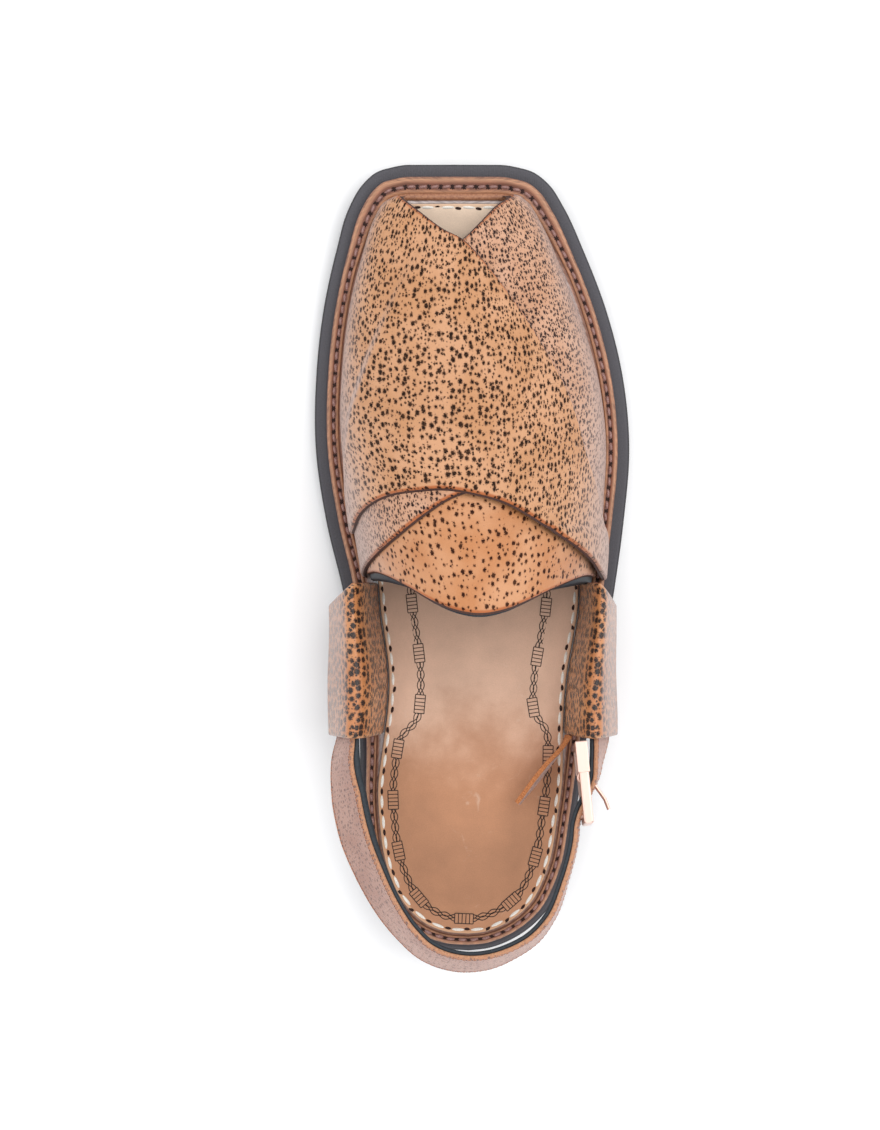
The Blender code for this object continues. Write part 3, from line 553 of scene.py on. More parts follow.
def pittedLeather(name, look):
    # corrected-grain cow leather, plated with an embossed pebble and wiped dark in its hollows:
    # a warm tan net that catches the light over dull dark pits
    material, tree, shader = newMaterial(name, {
        "IOR": 1.5, "Specular IOR Level": look["specular"],
        "Coat Weight": look["coat"], "Coat Roughness": look["coatRoughness"],
        "Sheen Weight": look["sheen"], "Sheen Roughness": 0.35, "Sheen Tint": linear(look["sheenTint"]),
    })
    vector, _, edge = flatPlace(tree)
    wobble = addNode(tree, "TexNoise",
                     {"noise_dimensions": "2D", "Scale": 1 / look["wobbleSize"], "Detail": 3.0,
                      "Roughness": 0.65},
                     {"Vector": vector})
    centred = addNode(tree, "VectorMath", {"operation": "SUBTRACT", 1: (0.5, 0.5, 0.5)},
                      {0: wobble.outputs["Color"]})
    pushed = addNode(tree, "VectorMath", {"operation": "SCALE", "Scale": look["wobble"]},
                     {0: centred.outputs[0]})
    place = addNode(tree, "VectorMath", {"operation": "ADD"}, {0: vector, 1: pushed.outputs[0]})
    tear = addNode(tree, "TexNoise", {"noise_dimensions": "2D", "Scale": 1 / look["tearSize"], "Detail": 2.0},
                   {"Vector": vector})
    ragged = addNode(tree, "Math", {"operation": "MULTIPLY_ADD", 1: look["tear"], 2: -look["tear"] / 2},
                     {0: tear.outputs[0]})
    masks, halos = [], []
    for spacing, least, most in (look["pits"], look["finePits"]):
        cells = addNode(tree, "TexVoronoi",
                        {"voronoi_dimensions": "2D", "Scale": 1 / spacing, "Randomness": 0.78},
                        {"Vector": place.outputs[0]})
        draw = addNode(tree, "SeparateColor", None, {0: cells.outputs["Color"]})
        reach = addNode(tree, "MapRange", {"To Min": least, "To Max": most}, {"Value": draw.outputs[0]})
        blunt = addNode(tree, "Math", {"operation": "SUBTRACT"},
                        {0: reach.outputs[0], 1: cells.outputs["Distance"]})
        inside = addNode(tree, "Math", {"operation": "ADD"}, {0: blunt.outputs[0], 1: ragged.outputs[0]})
        crisp = {"interpolation_type": "SMOOTHSTEP", "From Min": -0.03, "From Max": 0.04}
        masks.append(addNode(tree, "MapRange", crisp, {"Value": inside.outputs[0]}))
        wide = {"interpolation_type": "SMOOTHSTEP", "From Min": -0.16, "From Max": 0.03}
        halos.append(addNode(tree, "MapRange", wide, {"Value": inside.outputs[0]}))
    pit = addNode(tree, "Math", {"operation": "MAXIMUM"}, {0: masks[0].outputs[0], 1: masks[1].outputs[0]})
    halo = addNode(tree, "Math", {"operation": "MAXIMUM"}, {0: halos[0].outputs[0], 1: halos[1].outputs[0]})
    cloud = addNode(tree, "TexNoise", {"noise_dimensions": "2D", "Scale": 1 / look["cloudSize"], "Detail": 2.0},
                    {"Vector": vector})
    spread = addNode(tree, "MapRange", {"From Min": 0.35, "From Max": 0.65}, {"Value": cloud.outputs[0]})
    skin = addNode(tree, "Mix", {"data_type": "RGBA", 6: linear(look["skin"]), 7: linear(look["skinWarm"])},
                   {0: spread.outputs[0]})
    nearEdge = addNode(tree, "MapRange",
                       {"interpolation_type": "SMOOTHSTEP", "From Min": 0.3 * mm, "From Max": look["edgeWidth"],
                        "To Min": 0.9, "To Max": 0.0},
                       {"Value": edge})
    edged = addNode(tree, "Mix", {"data_type": "RGBA", 7: linear(look["edgeTint"])},
                    {0: nearEdge.outputs[0], 6: skin.outputs[2]})
    ringed = addNode(tree, "Math", {"operation": "MULTIPLY", 1: look["halo"]}, {0: halo.outputs[0]})
    shaded = addNode(tree, "Mix", {"data_type": "RGBA", 7: linear(look["pitRim"])},
                     {0: ringed.outputs[0], 6: edged.outputs[2]})
    fleck = addNode(tree, "TexNoise", {"noise_dimensions": "2D", "Scale": 1 / look["fleckSize"], "Detail": 2.0},
                    {"Vector": vector})
    worn = addNode(tree, "MapRange",
                   {"From Min": 0.40, "From Max": 0.62, "To Min": 1.0, "To Max": look["pitWear"]},
                   {"Value": fleck.outputs[0]})
    filled = addNode(tree, "Math", {"operation": "MULTIPLY"}, {0: pit.outputs[0], 1: worn.outputs[0]})
    dark = addNode(tree, "Mix", {"data_type": "RGBA", 7: linear(look["pit"])},
                   {0: filled.outputs[0], 6: shaded.outputs[2]})
    # steep outward walls are painted grey as a sheen reflection, and their pits with them
    surface = addNode(tree, "NewGeometry")
    facing = addNode(tree, "SeparateXYZ", None, {0: surface.outputs["Normal"]})
    spot = addNode(tree, "SeparateXYZ", None, {0: surface.outputs["Position"]})
    outer = addNode(tree, "Math", {"operation": "MULTIPLY"}, {0: facing.outputs["X"], 1: spot.outputs["X"]})
    outside = addNode(tree, "Math", {"operation": "GREATER_THAN", 1: 0.0}, {0: outer.outputs[0]})
    steep = addNode(tree, "MapRange",
                    {"interpolation_type": "SMOOTHSTEP", "From Min": look["sheenGlareFrom"],
                     "From Max": look["sheenGlareTo"], "To Min": 0.0, "To Max": look["sheenGlareShare"]},
                    {"Value": facing.outputs["Z"]})
    speckleAndSheenGlare = addNode(tree, "Math", {"operation": "MULTIPLY"}, {0: steep.outputs[0], 1: outside.outputs[0]})
    withSheenGlare = addNode(tree, "Mix", {"data_type": "RGBA", 7: linear(look["sheenGlareTone"])},
                    {0: speckleAndSheenGlare.outputs[0], 6: dark.outputs[2]})
    tree.links.new(withSheenGlare.outputs[2], shader.inputs["Base Color"])
    dull = addNode(tree, "MapRange", {"To Min": look["roughness"], "To Max": look["pitRoughness"]},
                   {"Value": pit.outputs[0]})
    tree.links.new(dull.outputs[0], shader.inputs["Roughness"])
    for socket, level in (("Coat Weight", look["coat"]), ("Sheen Weight", look["sheen"]),
                          ("Specular IOR Level", look["specular"])):
        fading = addNode(tree, "MapRange", {"To Min": level, "To Max": level * look["pitGloss"]},
                         {"Value": pit.outputs[0]})
        tree.links.new(fading.outputs[0], shader.inputs[socket])
    grain = addNode(tree, "TexNoise", {"noise_dimensions": "2D", "Scale": 1 / look["poreSize"], "Detail": 3.0},
                    {"Vector": vector})
    raised = addNode(tree, "Math", {"operation": "MULTIPLY_ADD", 1: -0.75},
                     {0: halo.outputs[0], 2: grain.outputs[0]})
    bump = addNode(tree, "Bump", {"Strength": look["bump"], "Distance": look["relief"]},
                   {"Height": raised.outputs[0]})
    tree.links.new(bump.outputs[0], shader.inputs["Normal"])
    return material


# pits and finePits: spacing, then least and most reach as shares of it; real pits are 1 to 2 mm
strapLook = {
    "skin": "#CA956D", "skinWarm": "#BE875B", "edgeTint": "#A9581F", "pitRim": "#74411F", "pit": "#150A07",
    "pits": (2.75 * mm, 0.13, 0.34), "finePits": (1.55 * mm, -0.20, 0.30),
    "wobbleSize": 0.8 * mm, "wobble": 0.7 * mm, "tearSize": 0.36 * mm, "tear": 0.50,
    "cloudSize": 18 * mm, "fleckSize": 0.7 * mm, "poreSize": 0.35 * mm,
    "halo": 0.5, "pitWear": 0.88, "pitGloss": 0.2, "edgeWidth": 1.15 * mm,
    # the grey below is painted sheen reflection on steep outward walls
    "sheenGlareTone": "#B09A92", "sheenGlareFrom": 0.68, "sheenGlareTo": 0.12, "sheenGlareShare": 0.78,
    "coat": 0.16, "coatRoughness": 0.34, "sheen": 0.24, "sheenTint": "#DCCBC8", "specular": 0.4,
    "roughness": 0.50, "pitRoughness": 0.7, "bump": 0.8, "relief": 0.18 * mm,
}
strapHide = pittedLeather("embossedCowLeather", strapLook)
# the lower strap is cut from a closer, greyer grained part of the hide
underHide = pittedLeather("closeGrainedCowLeather", {
    **strapLook, "skin": "#C9997A", "skinWarm": "#BF8C6A", "pit": "#1E1416", "pitRim": "#6E4A3E",
    "pits": (2.2 * mm, 0.12, 0.34), "finePits": (1.3 * mm, -0.14, 0.32), "sheenGlareFrom": 0.76})
# the tongue's calf is smoother, with fewer and browner pits
tongueHide = pittedLeather("embossedCalfLeather", {
    **strapLook, "skin": "#CA9167", "skinWarm": "#BC7C4C", "pit": "#2A110A", "pitRim": "#8A5029",
    "pits": (3.0 * mm, 0.06, 0.28), "finePits": (2.0 * mm, -0.34, 0.20),
    "sheen": 0.12, "tear": 0.3, "sheenGlareShare": 0.3})
# the loops are glazed: a glossy coat over large, nearly black pits
loopHide = pittedLeather("glazedEmbossedLeather", {
    **strapLook, "skin": "#CB8B58", "skinWarm": "#BD7846", "pit": "#0F0706", "pitRim": "#5A2F17",
    "pits": (2.9 * mm, 0.22, 0.44), "finePits": (1.5 * mm, -0.16, 0.34),
    "edgeTint": "#C9946A", "edgeWidth": 1.8 * mm,
    # the outer walls take a strong painted sheen reflection
    "sheenGlareFrom": 0.80, "sheenGlareTo": 0.0, "sheenGlareShare": 0.74, "sheenGlareTone": "#A08377",
    "coat": 0.5, "coatRoughness": 0.2, "sheen": 0.12, "pitGloss": 0.75,
    "roughness": 0.40, "pitRoughness": 0.36, "relief": 0.24 * mm})
# the heel strap's outer leather is painted grey all over as the sheen reflection of its steep face, its pits
# hardly darker
bandHide = pittedLeather("embossedStrapLeather", {
    **strapLook, "skin": "#AE8676", "skinWarm": "#A37868", "pit": "#7A5D55", "pitRim": "#93705F",
    "pits": (2.2 * mm, 0.02, 0.28), "finePits": (1.2 * mm, -0.2, 0.28),
    "edgeTint": "#B9805A", "edgeWidth": 1.6 * mm,
    "sheen": 0.5, "pitGloss": 1.0, "halo": 0.35, "sheenGlareShare": 0.0})

# Vegetable-tanned welting strip, waxed and burnished: reddish brown with fine drawn lines along it
weltLook = {
    # inset in mm and tone: lip, channel, ridge, crease, strip beside the straps; the lighter lip and ridge are
    # painted highlight, the darker channel and crease painted shade
    "litAndShadedBands": [(0.0, "#7E5240"), (0.7, "#B48261"), (1.4, "#A06C50"), (1.9, "#7A4A37"), (2.6, "#6C3E2E"),
              (3.2, "#7C4A35"), (3.6, "#A06B4A"), (4.1, "#A87350"), (4.5, "#6A3E2B"), (5.1, "#8E5B41"),
              (8.0, "#9A6447")],
    "reach": 8.0,
    "streaks": (0.74, 1.18),
    "lineWidth": 0.32 * mm,
    "lineRun": 14 * mm,
    "blotch": 2.2 * mm,
}
weltHide, tree, shader = newMaterial("burnishedWeltLeather", {
    "Roughness": 0.52, "IOR": 1.5, "Coat Weight": 0.15, "Coat Roughness": 0.35})
vector, _, edge = flatPlace(tree)
drawn = addNode(tree, "VectorMath",
                {"operation": "MULTIPLY", 1: (1 / weltLook["lineRun"], 1 / weltLook["lineWidth"], 0.0)},
                {0: vector})
lines = addNode(tree, "TexNoise", {"noise_dimensions": "2D", "Scale": 1.0, "Detail": 4.0, "Roughness": 0.6},
                {"Vector": drawn.outputs[0]})
blotch = addNode(tree, "TexNoise",
                 {"noise_dimensions": "2D", "Scale": 1 / weltLook["blotch"], "Detail": 3.0, "Roughness": 0.65},
                 {"Vector": vector})
wandering = addNode(tree, "Math", {"operation": "MULTIPLY_ADD", 1: 0.10, 2: -0.05}, {0: blotch.outputs[0]})
inward = addNode(tree, "Math", {"operation": "MULTIPLY_ADD", 1: 1 / (weltLook["reach"] * mm)},
                 {0: edge, 2: wandering.outputs[0]})
# tones across the welt by inset: painted highlight on the raised lip and ridge, painted shade in the channel
# and crease
litAndShadedBands = addNode(tree, "ValToRGB", None, {0: inward.outputs[0]})
for place, tone in weltLook["litAndShadedBands"]:
    stop = litAndShadedBands.color_ramp.elements.new(place / weltLook["reach"])
    stop.color = linear(tone)
litAndShadedBands.color_ramp.elements.remove(litAndShadedBands.color_ramp.elements[0])
litAndShadedBands.color_ramp.elements.remove(litAndShadedBands.color_ramp.elements[-1])
streaks = addNode(tree, "MapRange",
                  {"From Min": 0.34, "From Max": 0.68, "To Min": weltLook["streaks"][0],
                   "To Max": weltLook["streaks"][1]},
                  {"Value": lines.outputs[0]})
mottle = addNode(tree, "MapRange", {"From Min": 0.32, "From Max": 0.68, "To Min": 0.78, "To Max": 1.16},
                 {"Value": blotch.outputs[0]})
strength = addNode(tree, "Math", {"operation": "MULTIPLY"}, {0: streaks.outputs[0], 1: mottle.outputs[0]})
streaked = addNode(tree, "VectorMath", {"operation": "SCALE"},
                   {0: litAndShadedBands.outputs[0], "Scale": strength.outputs[0]})
tree.links.new(streaked.outputs[0], shader.inputs["Base Color"])
bump = addNode(tree, "Bump", {"Strength": 0.5, "Distance": 0.10 * mm}, {"Height": lines.outputs[0]})
tree.links.new(bump.outputs[0], shader.inputs["Normal"])

# Sheepskin lining leather, left matt: a soft pinkish tan that is browner where the heel rubs
bedLook = {
    "heel": "#BA8461",
    "waist": "#D2AB92",
    "toe": "#E6CBB2",
    "border": "#D2A682",
    "rim": "#5A3A28",
    "scuff": "#E8D2C0",
    "waistFrom": (0.035, 0.075),  # metres along the shoe over which each tone comes in
    "toeFrom": (0.15, 0.25),
    "cloud": 26 * mm,
    "nap": 0.45 * mm,
    "scuffSize": 10.526 * mm,
}
bedHide, tree, shader = newMaterial("mattLiningLeather", {
    "Roughness": 0.72, "IOR": 1.5, "Sheen Weight": 0.15, "Sheen Roughness": 0.5})
vector, place, edge = flatPlace(tree)
nap = addNode(tree, "TexNoise", {"Scale": 1 / bedLook["nap"], "Detail": 4.0, "Roughness": 0.7},
              {"Vector": vector})
cloud = addNode(tree, "TexNoise", {"Scale": 1 / bedLook["cloud"], "Detail": 4.0, "Roughness": 0.6},
                {"Vector": vector})
shifted = addNode(tree, "Math", {"operation": "MULTIPLY_ADD", 1: 0.05, 2: -0.025}, {0: cloud.outputs[0]})
alongBed = addNode(tree, "Math", {"operation": "ADD"}, {0: place, 1: shifted.outputs[0]})
toWaist = addNode(tree, "MapRange",
                  {"interpolation_type": "SMOOTHSTEP", "From Min": bedLook["waistFrom"][0],
                   "From Max": bedLook["waistFrom"][1]},
                  {"Value": alongBed.outputs[0]})
toToe = addNode(tree, "MapRange",
                {"interpolation_type": "SMOOTHSTEP", "From Min": bedLook["toeFrom"][0],
                 "From Max": bedLook["toeFrom"][1]},
                {"Value": alongBed.outputs[0]})
tone = addNode(tree, "Mix", {"data_type": "RGBA", 6: linear(bedLook["heel"]), 7: linear(bedLook["waist"])},
               {0: toWaist.outputs[0]})
toeTone = addNode(tree, "Mix", {"data_type": "RGBA", 7: linear(bedLook["toe"])},
                  {0: toToe.outputs[0], 6: tone.outputs[2]})
mottled = addNode(tree, "MapRange", {"From Min": 0.3, "From Max": 0.7, "To Min": 0.86, "To Max": 1.10},
                  {"Value": cloud.outputs[0]})
fuzzed = addNode(tree, "MapRange", {"From Min": 0.3, "From Max": 0.7, "To Min": 0.91, "To Max": 1.07},
                 {"Value": nap.outputs[0]})
strength = addNode(tree, "Math", {"operation": "MULTIPLY"}, {0: mottled.outputs[0], 1: fuzzed.outputs[0]})
varied = addNode(tree, "VectorMath", {"operation": "SCALE"},
                 {0: toeTone.outputs[2], "Scale": strength.outputs[0]})
scratch = addNode(tree, "TexNoise",
                  {"Scale": 1 / bedLook["scuffSize"], "Detail": 5.0, "Roughness": 0.75, "Distortion": 1.5},
                  {"Vector": vector})
scratched = addNode(tree, "MapRange", {"From Min": 0.62, "From Max": 0.80, "To Max": 0.4},
                    {"Value": scratch.outputs[0]})
rubbed = addNode(tree, "Mix", {"data_type": "RGBA", 7: linear(bedLook["scuff"])},
                 {0: scratched.outputs[0], 6: varied.outputs[0]})
bordered = addNode(tree, "MapRange",
                   {"interpolation_type": "SMOOTHSTEP", "From Min": 1.1 * mm, "From Max": 1.7 * mm,
                    "To Min": 0.6, "To Max": 0.0},
                   {"Value": edge})
bordering = addNode(tree, "Mix", {"data_type": "RGBA", 7: linear(bedLook["border"])},
                    {0: bordered.outputs[0], 6: rubbed.outputs[2]})
cutLine = addNode(tree, "MapRange",
                  {"From Min": 0.15 * mm, "From Max": 0.35 * mm, "To Min": 1.0, "To Max": 0.0}, {"Value": edge})
cutTone = addNode(tree, "Mix", {"data_type": "RGBA", 7: linear(bedLook["rim"])},
                  {0: cutLine.outputs[0], 6: bordering.outputs[2]})
tree.links.new(cutTone.outputs[2], shader.inputs["Base Color"])
bump = addNode(tree, "Bump", {"Strength": 0.4, "Distance": 0.08 * mm}, {"Height": nap.outputs[0]})
tree.links.new(bump.outputs[0], shader.inputs["Normal"])


def plainGrain(name, colour, second, size, relief, settings):
    # one tone broken by a second one, with a fine relief of the same grain
    material, tree, shader = newMaterial(name, settings)
    position = addNode(tree, "NewGeometry")
    grain = addNode(tree, "TexNoise", {"Scale": 1 / size, "Detail": 3.0, "Roughness": 0.6},
                    {"Vector": position.outputs["Position"]})
    share = addNode(tree, "MapRange", {"From Min": 0.35, "From Max": 0.65}, {"Value": grain.outputs[0]})
    tone = addNode(tree, "Mix", {"data_type": "RGBA", 6: linear(colour), 7: linear(second)},
                   {0: share.outputs[0]})
    tree.links.new(tone.outputs[2], shader.inputs["Base Color"])
    bump = addNode(tree, "Bump", {"Strength": 0.6, "Distance": relief}, {"Height": grain.outputs[0]})
    tree.links.new(bump.outputs[0], shader.inputs["Normal"])
    return material


# Split leather, cut and left raw: fibrous orange tan on every cut edge
rawEdge = plainGrain("rawCutLeather", "#C9804B", "#9C5A30", 0.5 * mm, 0.10 * mm, {"Roughness": 0.8})
# Strap leather skived and turned in: a paler tan border beside the lining
turnedEdge = plainGrain("skivedTurnedLeather", "#C08D6A", "#9C6B4B", 0.7 * mm, 0.06 * mm, {"Roughness": 0.6})
# The same cut, darkened as painted shadow: the thin dark line round the straps
paintedShadowEdge = plainGrain("cutEdgePaintedShadow", "#4A2618", "#2E1710", 0.6 * mm, 0.06 * mm, {"Roughness": 0.6})
# Coated pigskin lining: smooth blue-black with a dull shine
darkLining = plainGrain("coatedPigskinLining", "#2B3238", "#20252A", 0.8 * mm, 0.04 * mm,
                        {"Roughness": 0.55, "IOR": 1.5, "Specular IOR Level": 0.35})
# Waxed linen thread, bleached: white with a soft twist
whiteThread = plainGrain("waxedLinenThread", "#F3EEE4", "#D9CFC2", 0.4 * mm, 0.08 * mm,
                         {"Roughness": 0.6, "Sheen Weight": 0.3})
# Bonded nylon thread, dyed mauve brown by the wax
brownThread = plainGrain("bondedNylonThread", "#A5807A", "#7C554C", 0.4 * mm, 0.06 * mm, {"Roughness": 0.45})
# The same thread in the strap's orange brown
tanThread = plainGrain("tanNylonThread", "#B06A38", "#8A4A22", 0.4 * mm, 0.05 * mm, {"Roughness": 0.5})
# Leather pierced with an awl: the hole drawn dark as painted shade
holePaintedShade = plainGrain("awlHolePaintedShade", "#33160E", "#1B0B07", 0.5 * mm, 0.03 * mm, {"Roughness": 0.9})
# Skived calf rolled over a cord: smooth reddish tan with fine wrinkles
rollHide = plainGrain("rolledCalfLeather", "#B07A58", "#8E5A40", 0.9 * mm, 0.08 * mm,
                      {"Roughness": 0.5, "Coat Weight": 0.15})
# Screen ink, printed on leather: thin, brown black, matt
printInk = plainGrain("screenPrintInk", "#33251F", "#261A16", 0.5 * mm, 0.01 * mm, {"Roughness": 0.7})
# Zinc alloy, die cast and rose plated, and the plated wire of the prong: pale pinkish metal, softly polished
rosePlate, _, _ = newMaterial("rosePlatedZinc",
                              {"Base Color": linear("#DDBFB2"), "Metallic": 1.0, "Roughness": 0.3})
prongPlate, _, _ = newMaterial("rosePlatedWire",
                               {"Base Color": linear("#D9B5A6"), "Metallic": 1.0, "Roughness": 0.32})
print("materials made")


def layerRows(side, low, thickness, top=()):
    # a layer's side rows as shares of its thickness over low(y), then its top rows in mm over the full height
    rows = [(inset, lambda y, share=share: low(y) + share * thickness) for inset, share in side]
    return rows + [(inset, lambda y, up=up: low(y) + thickness + up * mm) for inset, up in top]


# Outsole and heel block: moulded rubber with cross bars cut into the tread
outsoleForm = {
    # inset in mm and share of the thickness, from the tread's edge over the side to under the welt
    "side": [(2.4, 0.0), (1.3, 0.0), (0.7, 0.05), (0.25, 0.14), (0.05, 0.28), (0.0, 0.42), (0.35, 0.465),
             (0.85, 0.50), (0.85, 0.575), (0.35, 0.61), (0.0, 0.655), (0.0, 0.80), (0.12, 0.90), (0.40, 0.965),
             (0.85, 1.0), (1.6, 1.0), (3.0, 0.995), (5.0, 0.985), (8.0, 0.985)],
    "mainBars": (placeAlong(shoe["ballRear"]) + 0.006, 6, 0.013, 0.003, 0.0015),
    "fineBars": (placeAlong(shoe["ballRear"]) + 0.0085, 21, 0.0033, 0.0009, 0.0006),
}
rows = layerRows(outsoleForm["side"], soleRise, shoe["outsole"])
outsole = solePiece("outsoleRubber", rows, 0.0, [rubber], ["outsole"])
cutBy(outsole, treadBars([outsoleForm["mainBars"], outsoleForm["fineBars"]]))

heelForm = {
    "side": [(2.4, 0.0), (1.6, 0.0), (0.9, 0.05), (0.6, 0.13), (0.4, 0.5), (0.3, 0.9), (0.3, 0.99), (0.5, 1.0)],
    "setBack": 0.0006,
    "fineBars": (-0.018, 18, 0.0036, 0.0009, 0.0006),
}
rows = layerRows(heelForm["side"], np.zeros_like, shoe["heelLift"] - shoe["gap"])
heelBlock = solePiece("heelBlock", rows, heelForm["setBack"], [rubber], ["heel"],
                      front=shoe["rear"] + shoe["heelLength"])
cutBy(heelBlock, treadBars([heelForm["fineBars"]]))

# Welt and midsole: one layer with a stitch channel and a ridge on its top
weltForm = {
    # inset in mm; share of the thickness up the side, then millimetres over the top
    "side": [(0.5, 0.0), (0.1, 0.15), (0.0, 0.40), (0.0, 0.72), (0.12, 0.88)],
    "top": [(0.35, -0.10), (0.75, 0.06), (1.2, 0.14), (1.6, 0.04), (2.0, -0.22), (2.3, -0.32), (2.6, -0.34),
            (2.9, -0.30), (3.2, -0.18), (3.5, 0.08), (3.9, 0.20), (4.25, 0.08), (4.55, -0.16), (4.9, -0.04),
            (6.5, 0.0), (9.5, 0.0)],
    "stitchInset": 2.6 * mm,  # where the tables above have the channel
    "heelInset": 2.1 * mm,
    "ballInset": 2.8 * mm,
    "toeInset": 4.0 * mm,
}


def channelStretch(share):
    # the stitch row lies close to the edge round the heel and farthest in at the toe
    heel, ball, toe = weltForm["heelInset"], weltForm["ballInset"], weltForm["toeInset"]
    inset = heel + (ball - heel) * ease((share - 0.15) / 0.30)
    inset = inset + (toe - ball) * ease((share - 0.86) / 0.11)
    return inset / weltForm["stitchInset"]


def soleSeam(margin, height, pitch):
    # places for stitches round the whole sole, at an inset and a height that follow its outline
    ring = insetRing(margin)
    ring = np.vstack((ring, ring[:1]))
    upward = np.tile((0.0, 0.0, 1.0), (len(ring), 1))
    return rowFrames(np.column_stack((ring, height(ring[:, 1]))), upward, pitch)


rows = layerRows(weltForm["side"], lambda y: outsoleTop(y) + shoe["gap"], shoe["midsole"], weltForm["top"])
solePiece("weltLeather", rows, rimMargin, [weltHide], ["midsole"], stretch=channelStretch)

# lock stitches lie in the channel, with an awl hole between each two drawn dark as painted shade
weltSeam = {
    "pitch": 4.6 * mm,
    "thread": (3.3 * mm, 1.25 * mm, 1.0 * mm),
    "hole": (2.8 * mm, 0.62 * mm, 0.24 * mm),
    "holeArms": ((0.75, 0.10), (-0.75, 0.12), (1.57, 0.14)),  # turn, and lift in mm
    "sunk": 0.30 * mm,
}
frames = soleSeam(lambda share: rimMargin(share) + weltForm["stitchInset"] * channelStretch(share),
                  lambda y: midsoleTop(y) - weltSeam["sunk"], weltSeam["pitch"])
thread = stamp(bead(*weltSeam["thread"]), frames, (0, 0, 0.20 * mm), 0.10, 0.12)
# each hole is torn open to a small star
arms = [stamp(bead(*weltSeam["hole"]), frames, (0, 0, lift * mm), turn, 0.3)
        for turn, lift in weltSeam["holeArms"]]
half = frames[1] * weltSeam["pitch"] / 2
arms = [(points + np.repeat(half, len(points) // len(half), axis=0), faces) for points, faces in arms]
points, faces, picks = joinShapes([thread, *arms])
makePiece("weltStitches", points, faces, [brownThread] + [holePaintedShade] * 3, picks, None)
print("sole and welt built")

# Insole with its white edge stitches
bedForm = {
    "side": [(0.5, 0.0), (0.1, 0.12), (0.0, 0.35), (0.0, 0.62), (0.12, 0.80), (0.35, 0.93), (0.7, 1.0)],
    "top": [(1.1, 0.02), (1.35, -0.05), (1.65, -0.10), (1.95, -0.05), (2.3, 0.0), (4.0, 0.02), (8.0, -0.10),
            (14.0, -0.35)],
    "stitchInset": 1.65 * mm,
}
rows = layerRows(bedForm["side"], weltSeat, shoe["insole"], bedForm["top"])
bed = solePiece("insoleLeather", rows, insoleMargin, [bedHide], ["insole"])
# the bed's pattern lies by place, and its third value is the inset from the edge
flat = bed.data.attributes["lay"]
values = np.zeros(len(bed.data.vertices) * 3, np.float32)
flat.data.foreach_get("vector", values)
values = values.reshape(-1, 3)
spots = np.array([vertex.co[:] for vertex in bed.data.vertices])
values[:, 0], values[:, 1] = spots[:, 0], spots[:, 1]
flat.data.foreach_set("vector", values.astype(np.float32).ravel())

bedSeam = {
    "pitch": 8.0 * mm,
    "thread": (5.4 * mm, 1.15 * mm, 0.8 * mm),
    "hole": (2.6 * mm, 1.15 * mm, 0.22 * mm),
    "sunk": 0.08 * mm,
}
frames = soleSeam(lambda share: insoleMargin(share) + bedForm["stitchInset"],
                  lambda y: weltSeat(y) + shoe["insole"] - bedSeam["sunk"], bedSeam["pitch"])
thread = stamp(bead(*bedSeam["thread"]), frames, (0, 0, 0.10 * mm), 0.0, 0.05)
# a dark bead between stitches stands for each hole's painted shade
holes = stamp(bead(*bedSeam["hole"]), frames, (bedSeam["pitch"] / 2, 0, 0.06 * mm), 0.0, 0.15)
points, faces, picks = joinShapes([thread, holes])
makePiece("insoleStitches", points, faces, [whiteThread, holePaintedShade], picks, None)
print("insole built")

# Crossed straps and tongue: share of the way across the last, then their front and rear edges as shares
# of the length
overEdges = [
    (0.00, 0.945, 0.530),
    (0.10, 0.951, 0.536),
    (0.16, 0.953, 0.551),
    (0.22, 0.949, 0.563),
    (0.30, 0.939, 0.574),
    (0.38, 0.924, 0.578),
    (0.45, 0.907, 0.579),
    (0.52, 0.891, 0.573),
    (0.59, 0.858, 0.563),
    (0.66, 0.809, 0.545),
    (0.72, 0.749, 0.527),
    (0.78, 0.684, 0.513),
    (0.82, 0.628, 0.504),
    (0.86, 0.599, 0.495),
    (0.92, 0.560, 0.480),
    (1.00, 0.500, 0.471),
]
underEdges = [
    (0.00, 0.545, 0.474),
    (0.05, 0.572, 0.478),
    (0.12, 0.620, 0.488),
    (0.20, 0.695, 0.502),
    (0.28, 0.775, 0.520),
    (0.34, 0.830, 0.536),
    (0.40, 0.866, 0.554),
    (0.46, 0.881, 0.571),
    (0.52, 0.897, 0.580),
    (0.60, 0.920, 0.572),
    (0.68, 0.939, 0.556),
    (0.76, 0.948, 0.538),
    (0.85, 0.953, 0.515),
    (0.92, 0.955, 0.502),
    (1.00, 0.955, 0.490),
]
tongueEdges = [
    (0.04, 0.530, 0.477),
    (0.09, 0.565, 0.479),
    (0.17, 0.605, 0.480),
    (0.24, 0.625, 0.474),
    (0.31, 0.640, 0.463),
    (0.38, 0.648, 0.448),
    (0.45, 0.650, 0.437),
    (0.52, 0.650, 0.433),
    (0.59, 0.650, 0.438),
    (0.66, 0.645, 0.449),
    (0.73, 0.638, 0.461),
    (0.80, 0.590, 0.470),
    (0.88, 0.520, 0.476),
    (0.97, 0.496, 0.474),
]
strapForm = {
    "thickness": 1.8 * mm,
    "rounding": 0.9 * mm,
    "edgeShare": 0.45,  # how much of the thickness stands at the cut edge itself
    "crossGap": 0.08 * mm,
    "splay": 0.55 * mm,  # the cut slants, so that its dark edge, a painted shadow, shows from above
    "coverWidth": 16 * mm,  # run over which the upper strap climbs on to the lower one
}
